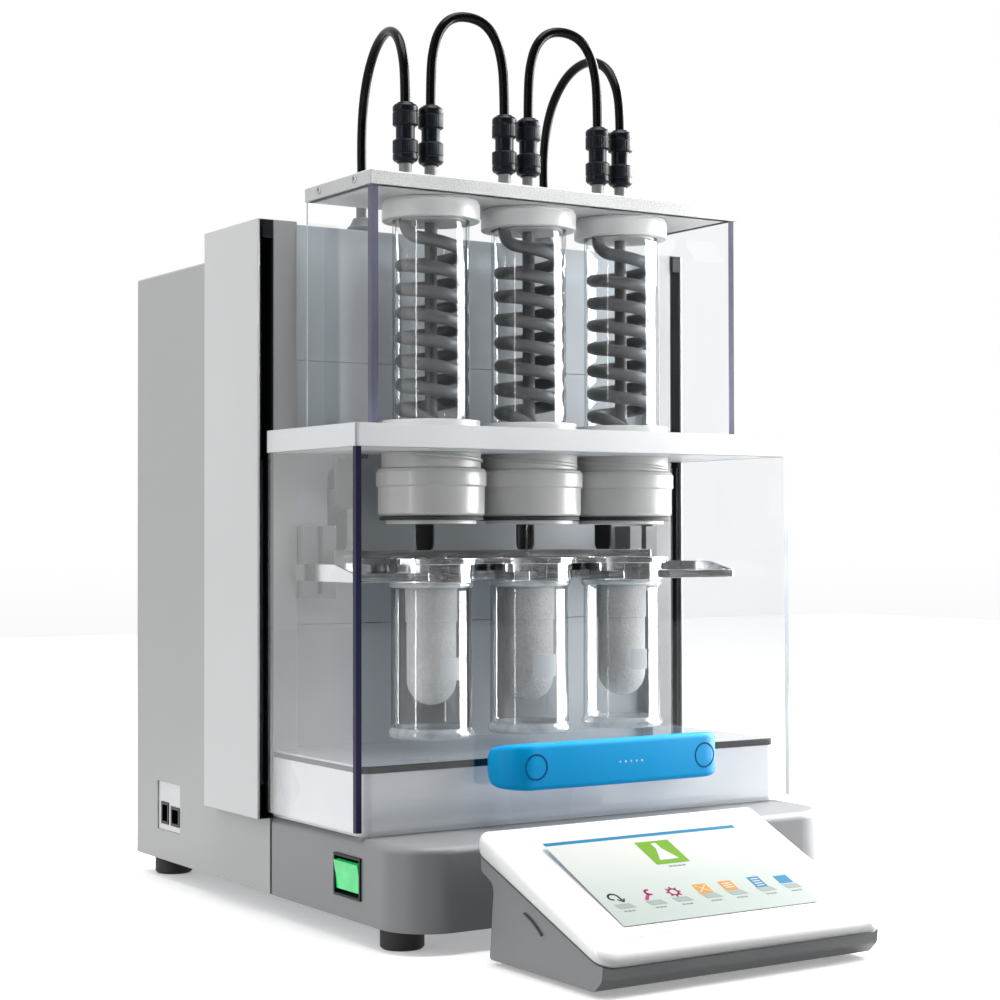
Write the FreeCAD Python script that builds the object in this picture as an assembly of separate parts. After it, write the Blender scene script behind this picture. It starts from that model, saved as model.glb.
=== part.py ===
import FreeCAD, Part
import math
import os

# Solvent extraction unit with three condensers, and its separate touch pad.
# Working frame: X to the right, Y to the back, Z up, in millimetres. While the pieces are made, X = 0 is the
# middle of the unit, Y = 0 is the front plane of the tower and Z = 0 is the bench. At the end everything is
# moved so that the origin is under the middle of the whole set.

V = FreeCAD.Vector

# Driving sizes of the cabinet and tower
unit_width = 373.0          # over the two side covers
side_step = 9.5             # a side cover stands this far outside the cabinet side
cover_sheet = 1.5
cabinet_sheet = 2.0
cabinet_depth = 234.0       # from the tower's front plane to the back
cabinet_top = 466.7
tower_depth = 88.0
tower_bottom = 66.6
tower_top = 484.1
slot_width = 10.8           # the black guide slot at each side of the tower
pillar_width = 18.1
pillar_wall = 2.0
liner_wall = 1.2
liner_depth = 30.0
wall_setback = 12.0         # the wall behind the glassware
wall_sheet = 2.0
wall_seam_low = 200.0
wall_seam_high = 387.6
seam_gap = 3.0

# Driving sizes of the base and deck
foot_height = 14.1
foot_radius = 14.3
foot_side_inset = 19.0
foot_front_y = -150.0
foot_rear_y = 206.0
base_top = 68.0
base_front = -190.0
base_corner = 34.0
base_wall = 2.5
base_edge_round = 5.0
chassis_sheet = 2.0
deck_front = -126.0
deck_top = 109.0
deck_wall = 2.5
deck_corner = 8.0
plate_band = 3.4            # black band of the hot plate
plate_glass = 1.2           # glass top of the hot plate
plate_radius = 9.0
plate_inset = 0.8
heater_radius = 36.0
heater_height = 12.0
notch_gap = 0.3             # between the deck and the tower's front strips

# Driving sizes of the glassware
condenser_pitch = 82.0
condenser_y = -60.0
tube_radius = 27.0
tube_wall = 1.8
tube_clearance = 0.2
coil_tube_radius = 4.1
coil_wall_gap = 0.5         # between the coil and the glass round it
coil_radius = tube_radius - tube_wall - coil_wall_gap - coil_tube_radius
coil_pitch = 16.7
coil_turns = 7.0
coil_bottom = 351.5
coil_joint = 0.2            # the joints of the coil are this much thicker than its tube
return_tube_radius = 3.3
cap_radius = 34.3
cap_height = 14.2
cap_step = 2.0
seat_height = 7.0
cup_radius = 28.0
cup_wall = 2.0
cup_bottom = 122.7
cup_lip = 1.4
cup_foot = 1.8
cup_floor = 4.0
thimble_radius = 17.3
thimble_wall = 1.6
thimble_bottom = 145.0
thimble_collar = 2.0

# Driving sizes of the moving head
board_side_gap = 0.6        # between the board and the tower's front strips
board_front = -105.4
board_rear = -11.3
board_bottom = 496.2
board_thickness = 9.9
head_floor_bottom = 320.5
head_floor_top = 335.8
panel_sheet = 4.0
head_panel_sheet = 5.0
head_travel = 23.7
drip_radius = 24.6

# Driving sizes of the locking collars
neck_radius = 34.7
thread_radius = 1.5
thread_pitch = 13.2
thread_height = 6.8
thread_margin = 0.6         # between the thread ridge and the ring's top
sleeve_radius = 31.5
ring_radius = 37.3
ring_flange_radius = 38.6
ring_top = 309.3
ring_flange_height = 12.0
ring_bottom = 276.3
running_gap = 0.3
gasket_radius = 36.2
gasket_height = 2.5
seal_height = 2.5

# Driving sizes of the rack
rack_plate_top = 247.0
rack_plate_sheet = 4.0
rack_bar_bottom = 231.6
rack_bar_top = 237.5
rack_disc_radius = 34.0
rack_ring_radius = 31.0
rack_ring_bottom = 230.6
rack_front = -92.0
rack_rear = -8.0
rack_flange_gap = 0.5        # between the rack's rear flange and the locking rings
rack_flange_sheet = 1.5
rack_flange_top = 252.5
rack_side_top = 243.4
rack_rail_top = 270.0
rail_half_width = 13.0
rail_side_gap = 1.1
rail_floor = 3.0
tongue_half_width = 2.0
tongue_depth = 6.0
rack_wing_reach = 20.0      # a wing goes this far past its tongue
rack_lug_width = 13.0
rack_drop = 9.0

# Driving sizes of the lifting shield
shield_front = -132.2
shield_bottom = 72.0
frame_bottom = 320.5
frame_top = 335.8
frame_gap = 2.6             # between the frame's opening and the head
frame_rear = -2.3
shield_travel = 150.0
shoe_clearance = 0.5
shoe_reach = 16.0
shoe_bottom = 90.0
shoe_top = 316.0
handle_left = -90.0
handle_right = 99.0
handle_bottom = 94.0
handle_top = 125.0
handle_reach = 30.0
handle_thickness = 11.0
handle_bend = 14.0          # the front corners are drawn in by this much
handle_root_slant = 6.0
handle_root_depth = 8.0
handle_round = 3.5
handle_corner = 12.0

# Driving sizes of the hoses and their fittings
hose_radius = 3.5
hose_bore = 1.5
bridge_rise = 66.5
supply_rise = 61.0
supply_sway = 1.2
fit_gap = 0.1
connector_radius = 8.8
connector_neck_radius = 6.4
connector_bottom = 521.0
connector_height = 42.5
connector_collar = 16.5
stem_in_connector = 12.0     # how far a coil's stem goes up into its connector
fitting_x = 81.5
fitting_y = 40.0
fitting_flange_radius = 11.0
fitting_nut_radius = 6.2
fitting_stem_radius = 5.2
fitting_height = 22.0

# Driving sizes of the switch and the side ports
switch_y = -112.8
switch_z = 41.8
switch_width = 36.0
switch_height = 27.5
bezel_proud = 1.2
bezel_depth = 14.0
bezel_floor = 2.0
bezel_wall = 1.6
pivot_inset = 4.0
pivot_radius = 1.5
port_y = 173.0
port_z = 55.5
port_width = 42.0
port_height = 37.0

# Driving sizes of the lift inside the tower
lug_width = 18.0
lug_z = 290.5
lug_pin_radius = 6.0
slot_half_width = 8.15
slot_bottom = 249.3
slot_inner_x = 44.3
lug_rail_gap = 24.7          # from an outer lug's middle to the rack's guide
carriage_y = 22.0
carriage_depth = 36.0
carriage_height = 22.0
guide_x = 66.0
guide_y = 50.0
guide_radius = 6.0
screw_radius = 5.0
bush_gap = 0.2
motor_size = 42.0
motor_height = 40.0

# Driving sizes of the touch pad
pad_left = -142.0
pad_right = 74.0
pad_front = -344.0
pad_rear = -222.0
pad_front_top = 26.6
pad_slope = 0.44
pad_shell_front = 9.0
pad_seam_slope = 0.375
pad_corner = 9.0
pad_inset = 3.0
pad_foot_height = 3.0
pad_foot_radius = 5.0
screen_left = -110.0
screen_right = 40.0
screen_rear = -238.0
screen_length = 93.4
screen_sheet = 1.2

# Sizes worked out from the ones above
cover_x = unit_width / 2
cabinet_x = cover_x - side_step
slot_outer = cover_x - cover_sheet
pillar_x = slot_outer - slot_width
inner_x = pillar_x - pillar_width
deck_half_width = pillar_x
board_half_width = inner_x - board_side_gap
shield_half_width = (pillar_x + slot_outer + panel_sheet) / 2
guide_slot_x = inner_x - rail_side_gap - rail_half_width
rack_half_width = guide_slot_x + rack_wing_reach
rack_flange_y = condenser_y + ring_radius + rack_flange_gap + rack_flange_sheet
slot_outer_x = guide_slot_x - lug_rail_gap
bore_radius = drip_radius
rest_z = foot_height
centres = [-condenser_pitch, 0.0, condenser_pitch]
board_top = board_bottom + board_thickness
cap_bottom = board_bottom - cap_height
neck_bottom = ring_bottom - running_gap
gasket_bottom = neck_bottom - gasket_height
seal_bottom = gasket_bottom - seal_height
plate_top = deck_top + plate_band + plate_glass
lug_xs = [-slot_outer_x, -slot_inner_x, slot_inner_x, slot_outer_x]


# Small helpers
def box(x0, x1, y0, y1, z0, z1):
    return Part.makeBox(x1 - x0, y1 - y0, z1 - z0, V(x0, y0, z0))


def disc(radius, z0, z1, x=0.0, y=0.0):
    return Part.makeCylinder(radius, z1 - z0, V(x, y, z0), V(0, 0, 1))


def rod_x(radius, x0, x1, y, z):
    return Part.makeCylinder(radius, x1 - x0, V(x0, y, z), V(1, 0, 0))


def rod_y(radius, y0, y1, x, z):
    return Part.makeCylinder(radius, y1 - y0, V(x, y0, z), V(0, 1, 0))


def ring(outer, inner, z0, z1, x=0.0, y=0.0):
    return disc(outer, z0, z1, x, y).cut(disc(inner, z0, z1, x, y))


def face_of(points):
    return Part.Face(Part.makePolygon(points + [points[0]]))


def turned(profile, x=0.0, y=0.0):
    """A closed (radius, height) outline turned about a vertical axis."""
    face = face_of([V(r, 0, z) for r, z in profile])
    solid = face.revolve(V(0, 0, 0), V(0, 0, 1), 360)
    solid.translate(V(x, y, 0))
    return solid


def side_profile(points, x0, x1):
    """A closed (y, z) outline pushed along X."""
    return face_of([V(x0, y, z) for y, z in points]).extrude(V(x1 - x0, 0, 0))


def soft_profile(corners, x0, x1):
    """A closed outline of (y, z, corner radius), pushed along X."""
    pieces = []
    count = len(corners)
    ends = []
    for i, (y, z, radius) in enumerate(corners):
        here = V(x0, y, z)
        before = V(x0, *corners[i - 1][:2])
        after = V(x0, *corners[(i + 1) % count][:2])
        into = (here - before).normalize()
        out = (after - here).normalize()
        turn = into.getAngle(out)
        reach = radius * math.tan(turn / 2)
        enter, leave = here - into * reach, here + out * reach
        ends.append((enter, leave))
        if radius > 0:
            middle = here + (out - into).normalize() * (radius / math.cos(turn / 2) - radius)
            pieces.append(Part.Arc(enter, middle, leave).toShape())
        if i > 0:
            pieces.append(Part.LineSegment(ends[i - 1][1], enter).toShape())
    pieces.append(Part.LineSegment(ends[-1][1], ends[0][0]).toShape())
    wire = Part.Wire(Part.sortEdges(pieces)[0])
    return Part.Face(wire).extrude(V(x1 - x0, 0, 0))


def fuse(parts):
    whole = parts[0]
    if len(parts) > 1:
        whole = whole.multiFuse(parts[1:])
    return whole.removeSplitter()


def cut(body, tools):
    for tool in tools:
        body = body.cut(tool)
    return body


def group(solids):
    return Part.makeCompound(solids)


def rounded(shape, radius, wanted):
    """Rounds the edges that the test picks."""
    edges = [e for e in shape.Edges if wanted(e)]
    return shape.makeFillet(radius, edges)


def is_upright(edge):
    ends = [v.Point for v in edge.Vertexes]
    if len(ends) < 2:
        return False
    gap = ends[1] - ends[0]
    return abs(gap.x) < 1e-6 and abs(gap.y) < 1e-6


def mirrored(shape):
    return shape.mirror(V(0, 0, 0), V(1, 0, 0))


def front_rounded_block(half_width, front, rear, z0, z1, radius):
    """A block whose two front upright edges are round."""
    block = box(-half_width, half_width, front, rear, z0, z1)
    return rounded(block, radius, lambda e: is_upright(e) and e.BoundBox.YMax < front + 1)


# Cabinet: a folded sheet that wraps the sides and top, low under the tower and tall behind it
def cabinet_outline(inset):
    low = tower_bottom - inset
    high = cabinet_top - inset
    step = tower_depth + inset
    return [(0, rest_z), (cabinet_depth, rest_z), (cabinet_depth, high), (step, high), (step, low), (0, low)]


def cabinet_shell():
    outer = side_profile(cabinet_outline(0.0), -cabinet_x, cabinet_x)
    outer = rounded(outer, cabinet_sheet,
                    lambda e: e.BoundBox.XLength < 1 and e.BoundBox.ZMin > cabinet_top - 1)
    inner_x0 = cabinet_x - cabinet_sheet
    inner = side_profile(cabinet_outline(cabinet_sheet), -inner_x0, inner_x0)
    shell = outer.cut(inner)
    recess = box(-cabinet_x, -cabinet_x + cabinet_sheet, port_y - port_width / 2, port_y + port_width / 2,
                 port_z - port_height / 2, port_z + port_height / 2)
    return shell.cut(recess)


vent_rows = 6
vent_length = 120.0
vent_width = 5.0
vent_pitch = 14.0
vent_top_inset = 60.0


def cabinet_back():
    gap = 0.2
    x1 = cabinet_x - cabinet_sheet - gap
    panel = box(-x1, x1, cabinet_depth - 2 * cabinet_sheet, cabinet_depth - cabinet_sheet,
                rest_z + chassis_sheet + gap, cabinet_top - cabinet_sheet - gap)
    slots = []
    for row in range(vent_rows):
        z = cabinet_top - vent_top_inset - row * vent_pitch
        slots.append(box(-vent_length / 2, vent_length / 2, cabinet_depth - 10, cabinet_depth,
                         z, z + vent_width))
    inlet = box(inlet_x - inlet_width / 2, inlet_x + inlet_width / 2, cabinet_depth - 10, cabinet_depth,
                inlet_z - inlet_height / 2, inlet_z + inlet_height / 2)
    barbs = [rod_y(barb_radius + fit_gap, cabinet_depth - 10, cabinet_depth, x, barb_z) for x in barb_xs]
    return cut(panel, slots + [inlet] + barbs)


# Mains inlet and water barbs at the back
inlet_edge_inset = 57.0
inlet_x = inlet_edge_inset - cabinet_x
inlet_z = 60.0
inlet_width = 28.0
inlet_height = 22.0
barb_edge_inset = 57.0
barb_pitch = 30.0
barb_xs = [cabinet_x - barb_edge_inset - barb_pitch, cabinet_x - barb_edge_inset]
barb_z = 60.0
barb_radius = 5.0
barb_reach = 16.0


def mains_inlet():
    rear = cabinet_depth - cabinet_sheet
    w, h = inlet_width / 2 - fit_gap, inlet_height / 2 - fit_gap
    body = box(inlet_x - w, inlet_x + w, rear - 18, rear, inlet_z - h, inlet_z + h)
    rim = box(inlet_x - w - 3, inlet_x + w + 3, rear, rear + 1.5, inlet_z - h - 3, inlet_z + h + 3)
    well = box(inlet_x - w + 2, inlet_x + w - 2, rear - 14, rear + 2, inlet_z - h + 3, inlet_z + h - 2)
    pins = [box(inlet_x + dx - 1, inlet_x + dx + 1, rear - 14, rear - 2, inlet_z + dz - 2, inlet_z + dz + 2)
            for dx, dz in ((-7, -1), (0, 3), (7, -1))]
    return fuse([fuse([body, rim]).cut(well)] + pins)


def water_ports():
    rear = cabinet_depth - cabinet_sheet
    ports = []
    for x in barb_xs:
        tail = rod_y(barb_radius, rear - 2 * cabinet_sheet - 3, rear, x, barb_z)
        nut = rod_y(barb_radius + 3, rear, rear + 4, x, barb_z)
        stem = rod_y(barb_radius - 1, rear + 4, rear + barb_reach, x, barb_z)
        port = fuse([tail, nut, stem])
        for step in range(3):
            y = rear + 6 + 3.4 * step
            cone = Part.makeCone(barb_radius, barb_radius - 1, 3.0, V(x, y, barb_z), V(0, 1, 0))
            port = port.fuse(cone)
        bore = rod_y(barb_radius - 2.5, rear - 2, rear + barb_reach, x, barb_z)
        ports.append(port.removeSplitter().cut(bore))
    return group(ports)


def chassis_plate():
    gap = 0.2
    inset = base_wall + gap
    x1 = cabinet_x - inset
    rear = cabinet_depth - cabinet_sheet - gap
    return front_rounded_block(x1, base_front + inset, rear, rest_z, rest_z + chassis_sheet,
                               base_corner - inset)


def feet():
    x1 = cabinet_x - foot_side_inset
    made = []
    for x in (-x1, x1):
        for y in (foot_front_y, foot_rear_y):
            profile = [(0, 0), (foot_radius - 1.5, 0), (foot_radius, 1.5), (foot_radius, rest_z), (0, rest_z)]
            made.append(turned(profile, x, y))
    return group(made)


# Tower: two box pillars, outer covers, black guide slots and the folded wall between them
def one_pillar():
    outer = box(inner_x, pillar_x, 0, tower_depth, tower_bottom, tower_top)
    inner = box(inner_x + pillar_wall, pillar_x - pillar_wall, pillar_wall, tower_depth - pillar_wall,
                tower_bottom, tower_top - pillar_wall)
    return outer.cut(inner)


def pillars():
    return group([mirrored(one_pillar()), one_pillar()])


def side_cover():
    web = box(slot_outer, cover_x, 0, tower_depth, tower_bottom, tower_top)
    back = box(cabinet_x + 0.2, cover_x, tower_depth - cover_sheet, tower_depth, tower_bottom, tower_top)
    foot = box(cabinet_x + 0.2, cover_x, liner_depth + 2, tower_depth, tower_bottom,
               tower_bottom + cover_sheet)
    return fuse([web, back, foot])


def one_liner():
    outer = box(pillar_x, slot_outer, 0.5, liner_depth, tower_bottom, tower_top)
    inner = box(pillar_x + liner_wall, slot_outer - liner_wall, 0.5, liner_depth - liner_wall,
                tower_bottom + liner_wall, tower_top - 2 * liner_wall)
    cap = box(pillar_x + 1.6, slot_outer - 1.6, -2.0, 0.5, frame_bottom + shield_travel + 0.8, tower_top - 1)
    return fuse([outer.cut(inner), cap])


def slot_liners():
    return group([mirrored(one_liner()), one_liner()])


def wall_panel(z0, z1):
    gap = 0.2
    return box(-inner_x + gap, inner_x - gap, wall_setback, wall_setback + wall_sheet, z0 + gap, z1 - gap)


def guide_slot(x):
    top = lug_z + 14.0
    y0, y1 = wall_setback - 1, wall_setback + wall_sheet + 1
    middle = box(x - slot_half_width, x + slot_half_width, y0, y1, slot_bottom + slot_half_width, top)
    low = rod_y(slot_half_width, y0, y1, x, slot_bottom + slot_half_width)
    high = rod_y(slot_half_width, y0, y1, x, top)
    return fuse([middle, low, high])


def wall_top_panel():
    gap = 0.2
    panel = wall_panel(wall_seam_high, tower_top)
    lid = box(-inner_x + gap, inner_x - gap, wall_setback, tower_depth, tower_top - wall_sheet, tower_top)
    holes = [disc(fitting_stem_radius + fit_gap, tower_top - 10, tower_top + 1, x, fitting_y)
             for x in (-fitting_x, fitting_x)]
    return cut(fuse([panel, lid]), holes)


def wall_slot_panel():
    return cut(wall_panel(wall_seam_low, wall_seam_high), [guide_slot(x) for x in lug_xs])


def wall_bottom_panel():
    return wall_panel(tower_bottom, wall_seam_low)


# Base and deck
def base_housing():
    outer = front_rounded_block(cabinet_x, base_front, -seam_gap, rest_z, base_top, base_corner)
    outer = rounded(outer, base_edge_round,
                    lambda e: e.BoundBox.ZMin > base_top - 1e-3 and e.BoundBox.YMin < -seam_gap - 1)
    w = base_wall
    inner = front_rounded_block(cabinet_x - w, base_front + w, -seam_gap, rest_z, base_top - w,
                                base_corner - w)
    shell = outer.cut(inner)
    window = box(-cabinet_x - 1, -cabinet_x + w + 1, switch_y - switch_width / 2, switch_y + switch_width / 2,
                 switch_z - switch_height / 2, switch_z + switch_height / 2)
    return shell.cut(window)


def deck_housing():
    outer = front_rounded_block(deck_half_width, deck_front, wall_setback - 0.2, base_top, deck_top,
                                deck_corner)
    w = deck_wall
    inner = front_rounded_block(deck_half_width - w, deck_front + w, wall_setback - 0.2 - w, base_top,
                                deck_top - w, deck_corner - w)
    shell = outer.cut(inner)
    notch = box(inner_x - notch_gap, deck_half_width + 1, -notch_gap, wall_setback, base_top - 1,
                deck_top + 1)
    return cut(shell, [notch, mirrored(notch)])


def deck_slab(inset, z0, z1):
    slab = front_rounded_block(deck_half_width - inset, deck_front + inset, wall_setback - 0.2, z0, z1,
                               plate_radius - inset)
    notch = box(inner_x - notch_gap, deck_half_width + 1, -notch_gap, wall_setback, z0 - 1, z1 + 1)
    return cut(slab, [notch, mirrored(notch)])


def plate_frame():
    return deck_slab(0.0, deck_top, deck_top + plate_band)


def hot_plate():
    return deck_slab(plate_inset, deck_top + plate_band, plate_top)


def heater_blocks():
    top = deck_top - deck_wall
    return group([disc(heater_radius, top - heater_height, top, x, condenser_y) for x in centres])


# Power switch on the left side of the base
def switch_bezel():
    w, h = switch_width / 2 - fit_gap, switch_height / 2 - fit_gap
    x0 = -cabinet_x
    t = bezel_wall
    body = box(x0 - bezel_proud, x0 + bezel_depth, switch_y - w, switch_y + w, switch_z - h, switch_z + h)
    well = box(x0 - bezel_proud - 1, x0 + bezel_depth - bezel_floor, switch_y - w + t, switch_y + w - t,
               switch_z - h + t, switch_z + h - t)
    pivot = rod_y(pivot_radius, switch_y - w + 0.5, switch_y + w - 0.5, x0 + pivot_inset, switch_z)
    return fuse([body.cut(well), pivot])


def switch_rocker():
    x0 = -cabinet_x
    w = switch_width / 2 - 2.2
    outline = [(x0 + 8, switch_z - 6), (x0 + 8, switch_z + 6), (x0 + 1.4, switch_z + 9.6),
               (x0 - 2.2, switch_z + 9.2), (x0 - 0.6, switch_z), (x0 + 0.2, switch_z - 9.4),
               (x0 + 1.4, switch_z - 9.6)]
    face = face_of([V(x, switch_y - w, z) for x, z in outline])
    body = face.extrude(V(0, 2 * w, 0))
    pivot_hole = rod_y(pivot_radius + 0.05, switch_y - w - 1, switch_y + w + 1, x0 + pivot_inset, switch_z)
    return body.cut(pivot_hole)


# Data ports on the left side of the cabinet
def port_plate():
    w, h = port_width / 2 - fit_gap, port_height / 2 - fit_gap
    x0 = -cabinet_x
    tray = box(x0 + 1.0, x0 + 2.6, port_y - w, port_y + w, port_z - h, port_z + h)
    holes = [box(x0, x0 + 3, y0, y1, z0, z1) for y0, y1, z0, z1 in port_places()]
    return cut(tray, holes)


def port_places():
    return [(port_y + 1.5, port_y + 15.5, port_z - 14, port_z + 3),
            (port_y - 18.5, port_y - 2.5, port_z - 14, port_z + 1)]


def port_sockets():
    x0 = -cabinet_x
    made = []
    for y0, y1, z0, z1 in port_places():
        g = fit_gap
        shell = box(x0 + 0.4, x0 + 12, y0 + g, y1 - g, z0 + g, z1 - g)
        well = box(x0, x0 + 9, y0 + 2.2, y1 - 2.2, z0 + 2.2, z1 - 2.2)
        made.append(shell.cut(well))
    return group(made)


# Fittings on the tower's lid, where the cooling water comes out and goes back
def hose_fittings():
    made = []
    for x in (-fitting_x, fitting_x):
        z = tower_top
        top = z + fitting_height
        profile = [(0, z - 6), (fitting_stem_radius, z - 6), (fitting_stem_radius, z),
                   (fitting_flange_radius, z), (fitting_flange_radius, z + 4), (fitting_nut_radius, z + 5),
                   (fitting_nut_radius, z + 11), (fitting_stem_radius, z + 12),
                   (fitting_stem_radius, top), (hose_radius + fit_gap, top),
                   (hose_radius + fit_gap, top - 10), (0, top - 10)]
        made.append(turned(profile, x, fitting_y))
    return group(made)


# Moving head: board, floor, clear panels, caps and seats
def top_board():
    board = box(-board_half_width, board_half_width, board_front, board_rear, board_bottom, board_top)
    board = rounded(board, 1.2, lambda e: e.BoundBox.ZMin > board_top - 1e-3)
    holes = []
    for x in centres:
        for dx in (-coil_radius, 0.0):
            holes.append(disc(coil_tube_radius + fit_gap, board_bottom - 1, board_top + 1, x + dx,
                              condenser_y))
    return cut(board, holes)


def head_floor():
    plate = box(-board_half_width, board_half_width, board_front, board_rear, head_floor_bottom,
                head_floor_top)
    plate = rounded(plate, 3.0, is_upright)
    return cut(plate, [disc(bore_radius, head_floor_bottom, head_floor_top, x, condenser_y) for x in centres])


def head_side_panels():
    x1 = board_half_width - 1.5
    panel = box(x1 - head_panel_sheet, x1, board_front + 1.5, board_rear, head_floor_top, board_bottom)
    return group([mirrored(panel), panel])


def head_front_panel():
    x1 = board_half_width - 1.5 - head_panel_sheet
    y0 = board_front + 1.5
    return box(-x1, x1, y0, y0 + head_panel_sheet, head_floor_top, board_bottom)


def condenser_caps():
    made = []
    for x in centres:
        lip = tube_radius + tube_clearance
        z0, z1 = cap_bottom, board_bottom
        profile = [(lip, z0), (cap_radius - 1, z0), (cap_radius, z0 + 1), (cap_radius, z1 - cap_step),
                   (cap_radius - 2, z1 - cap_step), (cap_radius - 2, z1), (0, z1), (0, z1 - 4), (lip, z1 - 4)]
        cap = turned(profile, x, condenser_y)
        holes = [disc(coil_tube_radius + fit_gap, z0, z1, x + dx, condenser_y) for dx in (-coil_radius, 0.0)]
        made.append(cut(cap, holes))
    return group(made)


def tube_seats():
    made = []
    for x in centres:
        z0 = head_floor_top
        top = z0 + seat_height
        lip = tube_radius + tube_clearance
        profile = [(bore_radius, z0), (cap_radius, z0), (cap_radius, top - 1), (cap_radius - 1, top),
                   (lip, top), (lip, z0 + 1.5), (bore_radius, z0 + 1.5)]
        made.append(turned(profile, x, condenser_y))
    return group(made)


def condenser_tubes():
    z0, z1 = head_floor_top + 1.5, board_bottom - 4
    return group([ring(tube_radius, tube_radius - tube_wall, z0, z1, x, condenser_y) for x in centres])


# Cooling coil: a left-handed helix of tube, straight up into its connector at the left and joined under the
# lowest turn to a straight return tube on the axis
def one_coil(x):
    height = coil_pitch * coil_turns
    helix = Part.makeHelix(coil_pitch, height, coil_radius, 0, True)
    start = V(coil_radius, 0, 0)
    rise = V(0, -2 * math.pi * coil_radius, coil_pitch).normalize()
    section = Part.Wire([Part.Circle(start, rise, coil_tube_radius).toShape()])
    coil = Part.Wire(helix.Edges).makePipeShell([section], True, True)
    coil.rotate(V(0, 0, 0), V(0, 0, 1), 180)
    coil.translate(V(0, 0, coil_bottom))
    high = V(-coil_radius, 0, coil_bottom + height)
    low = V(-coil_radius, 0, coil_bottom)
    joint = coil_tube_radius + coil_joint
    stem_top = connector_bottom + stem_in_connector
    pieces = [Part.makeSphere(joint, high), disc(coil_tube_radius, high.z, stem_top, high.x, 0),
              Part.makeSphere(joint, low), Part.makeCylinder(coil_tube_radius, coil_radius, low, V(1, 0, 0)),
              Part.makeSphere(joint, V(0, 0, coil_bottom)), disc(return_tube_radius, coil_bottom, cap_bottom),
              disc(coil_tube_radius, cap_bottom, stem_top)]
    for piece in pieces:
        coil = coil.fuse(piece)
    coil.translate(V(x, condenser_y, 0))
    return coil


def cooling_coils():
    return group([one_coil(x) for x in centres])


# Collars under the head: fixed necks, turning locking rings, gaskets and seal discs
def thread_ridge(x):
    """One coarse ridge of the thread, a round strip that is half sunk in the neck and falls to the right."""
    helix = Part.makeHelix(thread_pitch, thread_height, neck_radius, 0, True)
    start = V(neck_radius, 0, 0)
    rise = V(0, -2 * math.pi * neck_radius, thread_pitch).normalize()
    section = Part.Wire([Part.Circle(start, rise, thread_radius).toShape()])
    ridge = Part.Wire(helix.Edges).makePipeShell([section], True, True)
    ridge.rotate(V(0, 0, 0), V(0, 0, 1), -30)
    ridge.translate(V(x, condenser_y, ring_top + running_gap + thread_margin + thread_radius))
    return ridge


def collar_necks():
    made = []
    for x in centres:
        shoulder = ring_top + running_gap
        profile = [(bore_radius, neck_bottom), (sleeve_radius, neck_bottom), (sleeve_radius, shoulder),
                   (neck_radius, shoulder), (neck_radius, head_floor_bottom),
                   (bore_radius, head_floor_bottom)]
        made.append(fuse([turned(profile, x, condenser_y), thread_ridge(x)]))
    return group(made)


def locking_ring(x):
    inside = sleeve_radius + running_gap
    step = ring_top - ring_flange_height
    profile = [(inside, ring_bottom), (ring_radius - 2.5, ring_bottom), (ring_radius, ring_bottom + 2.5),
               (ring_radius, step), (ring_flange_radius, step + 0.6), (ring_flange_radius, ring_top - 1),
               (ring_flange_radius - 1, ring_top), (inside, ring_top)]
    return turned(profile, x, condenser_y)


def gaskets():
    z0, z1 = gasket_bottom, neck_bottom
    return group([ring(gasket_radius, bore_radius, z0, z1, x, condenser_y) for x in centres])


def seal_discs():
    z0, z1 = seal_bottom, gasket_bottom
    return group([ring(sleeve_radius, bore_radius, z0, z1, x, condenser_y) for x in centres])


# Lift: a carriage inside the tower, on two guide rods and a screw, with four lugs that come out through the
# slots in the wall and carry the head's floor
def lift_carriage():
    y0 = carriage_y
    z0, z1 = lug_z - carriage_height / 2, lug_z + carriage_height / 2
    beam = box(-slot_outer_x - 12, slot_outer_x + 12, y0, y0 + carriage_depth, z0, z1)
    holes = [disc(guide_radius + bush_gap, z0 - 1, z1 + 1, x, guide_y) for x in (-guide_x, guide_x)]
    holes.append(disc(screw_radius + bush_gap, z0 - 1, z1 + 1, 0, guide_y))
    beam = cut(beam, holes)
    parts = [beam]
    for x in lug_xs:
        parts.append(rod_y(lug_pin_radius, -4.0, y0, x, lug_z))
        plate = box(x - lug_width / 2, x + lug_width / 2, -4.0, 0.0, lug_z, head_floor_bottom)
        parts.append(plate)
        parts.append(rod_y(lug_width / 2, -4.0, 0.0, x, lug_z))
        foot = box(x - lug_width / 2, x + lug_width / 2, board_rear - 6, 0.0, head_floor_bottom - 3,
                   head_floor_bottom)
        parts.append(foot)
    return fuse(parts)


def guide_rods():
    top = tower_top - wall_sheet
    return group([disc(guide_radius, tower_bottom, top, x, guide_y) for x in (-guide_x, guide_x)])


def lift_screw():
    top = tower_top - wall_sheet
    return disc(screw_radius, tower_bottom + motor_height, top, 0, guide_y)


def lift_motor():
    half = motor_size / 2
    body = box(-half, half, guide_y - half, guide_y + half, tower_bottom, tower_bottom + motor_height - 3)
    body = rounded(body, 4.0, is_upright)
    return fuse([body, disc(11, tower_bottom + motor_height - 3, tower_bottom + motor_height, 0, guide_y)])


# Cups, thimbles and the rack that carries them
def cup(x):
    top = rack_plate_top
    lip_z = rack_ring_bottom
    r, w = cup_radius, cup_wall
    outer = [(0, cup_bottom), (r + cup_foot - 1, cup_bottom), (r + cup_foot, cup_bottom + 1),
             (r + cup_foot, cup_bottom + 3), (r, cup_bottom + 6), (r, lip_z - 5), (r + cup_lip, lip_z - 3.4),
             (r + cup_lip, lip_z), (r, lip_z), (r, top)]
    inner = [(r - w, top), (r - w, cup_bottom + cup_floor + 3), (r - w - 3, cup_bottom + cup_floor),
             (0, cup_bottom + cup_floor)]
    return turned(outer + inner, x, condenser_y)


def cups():
    return group([cup(x) for x in centres])


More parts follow.
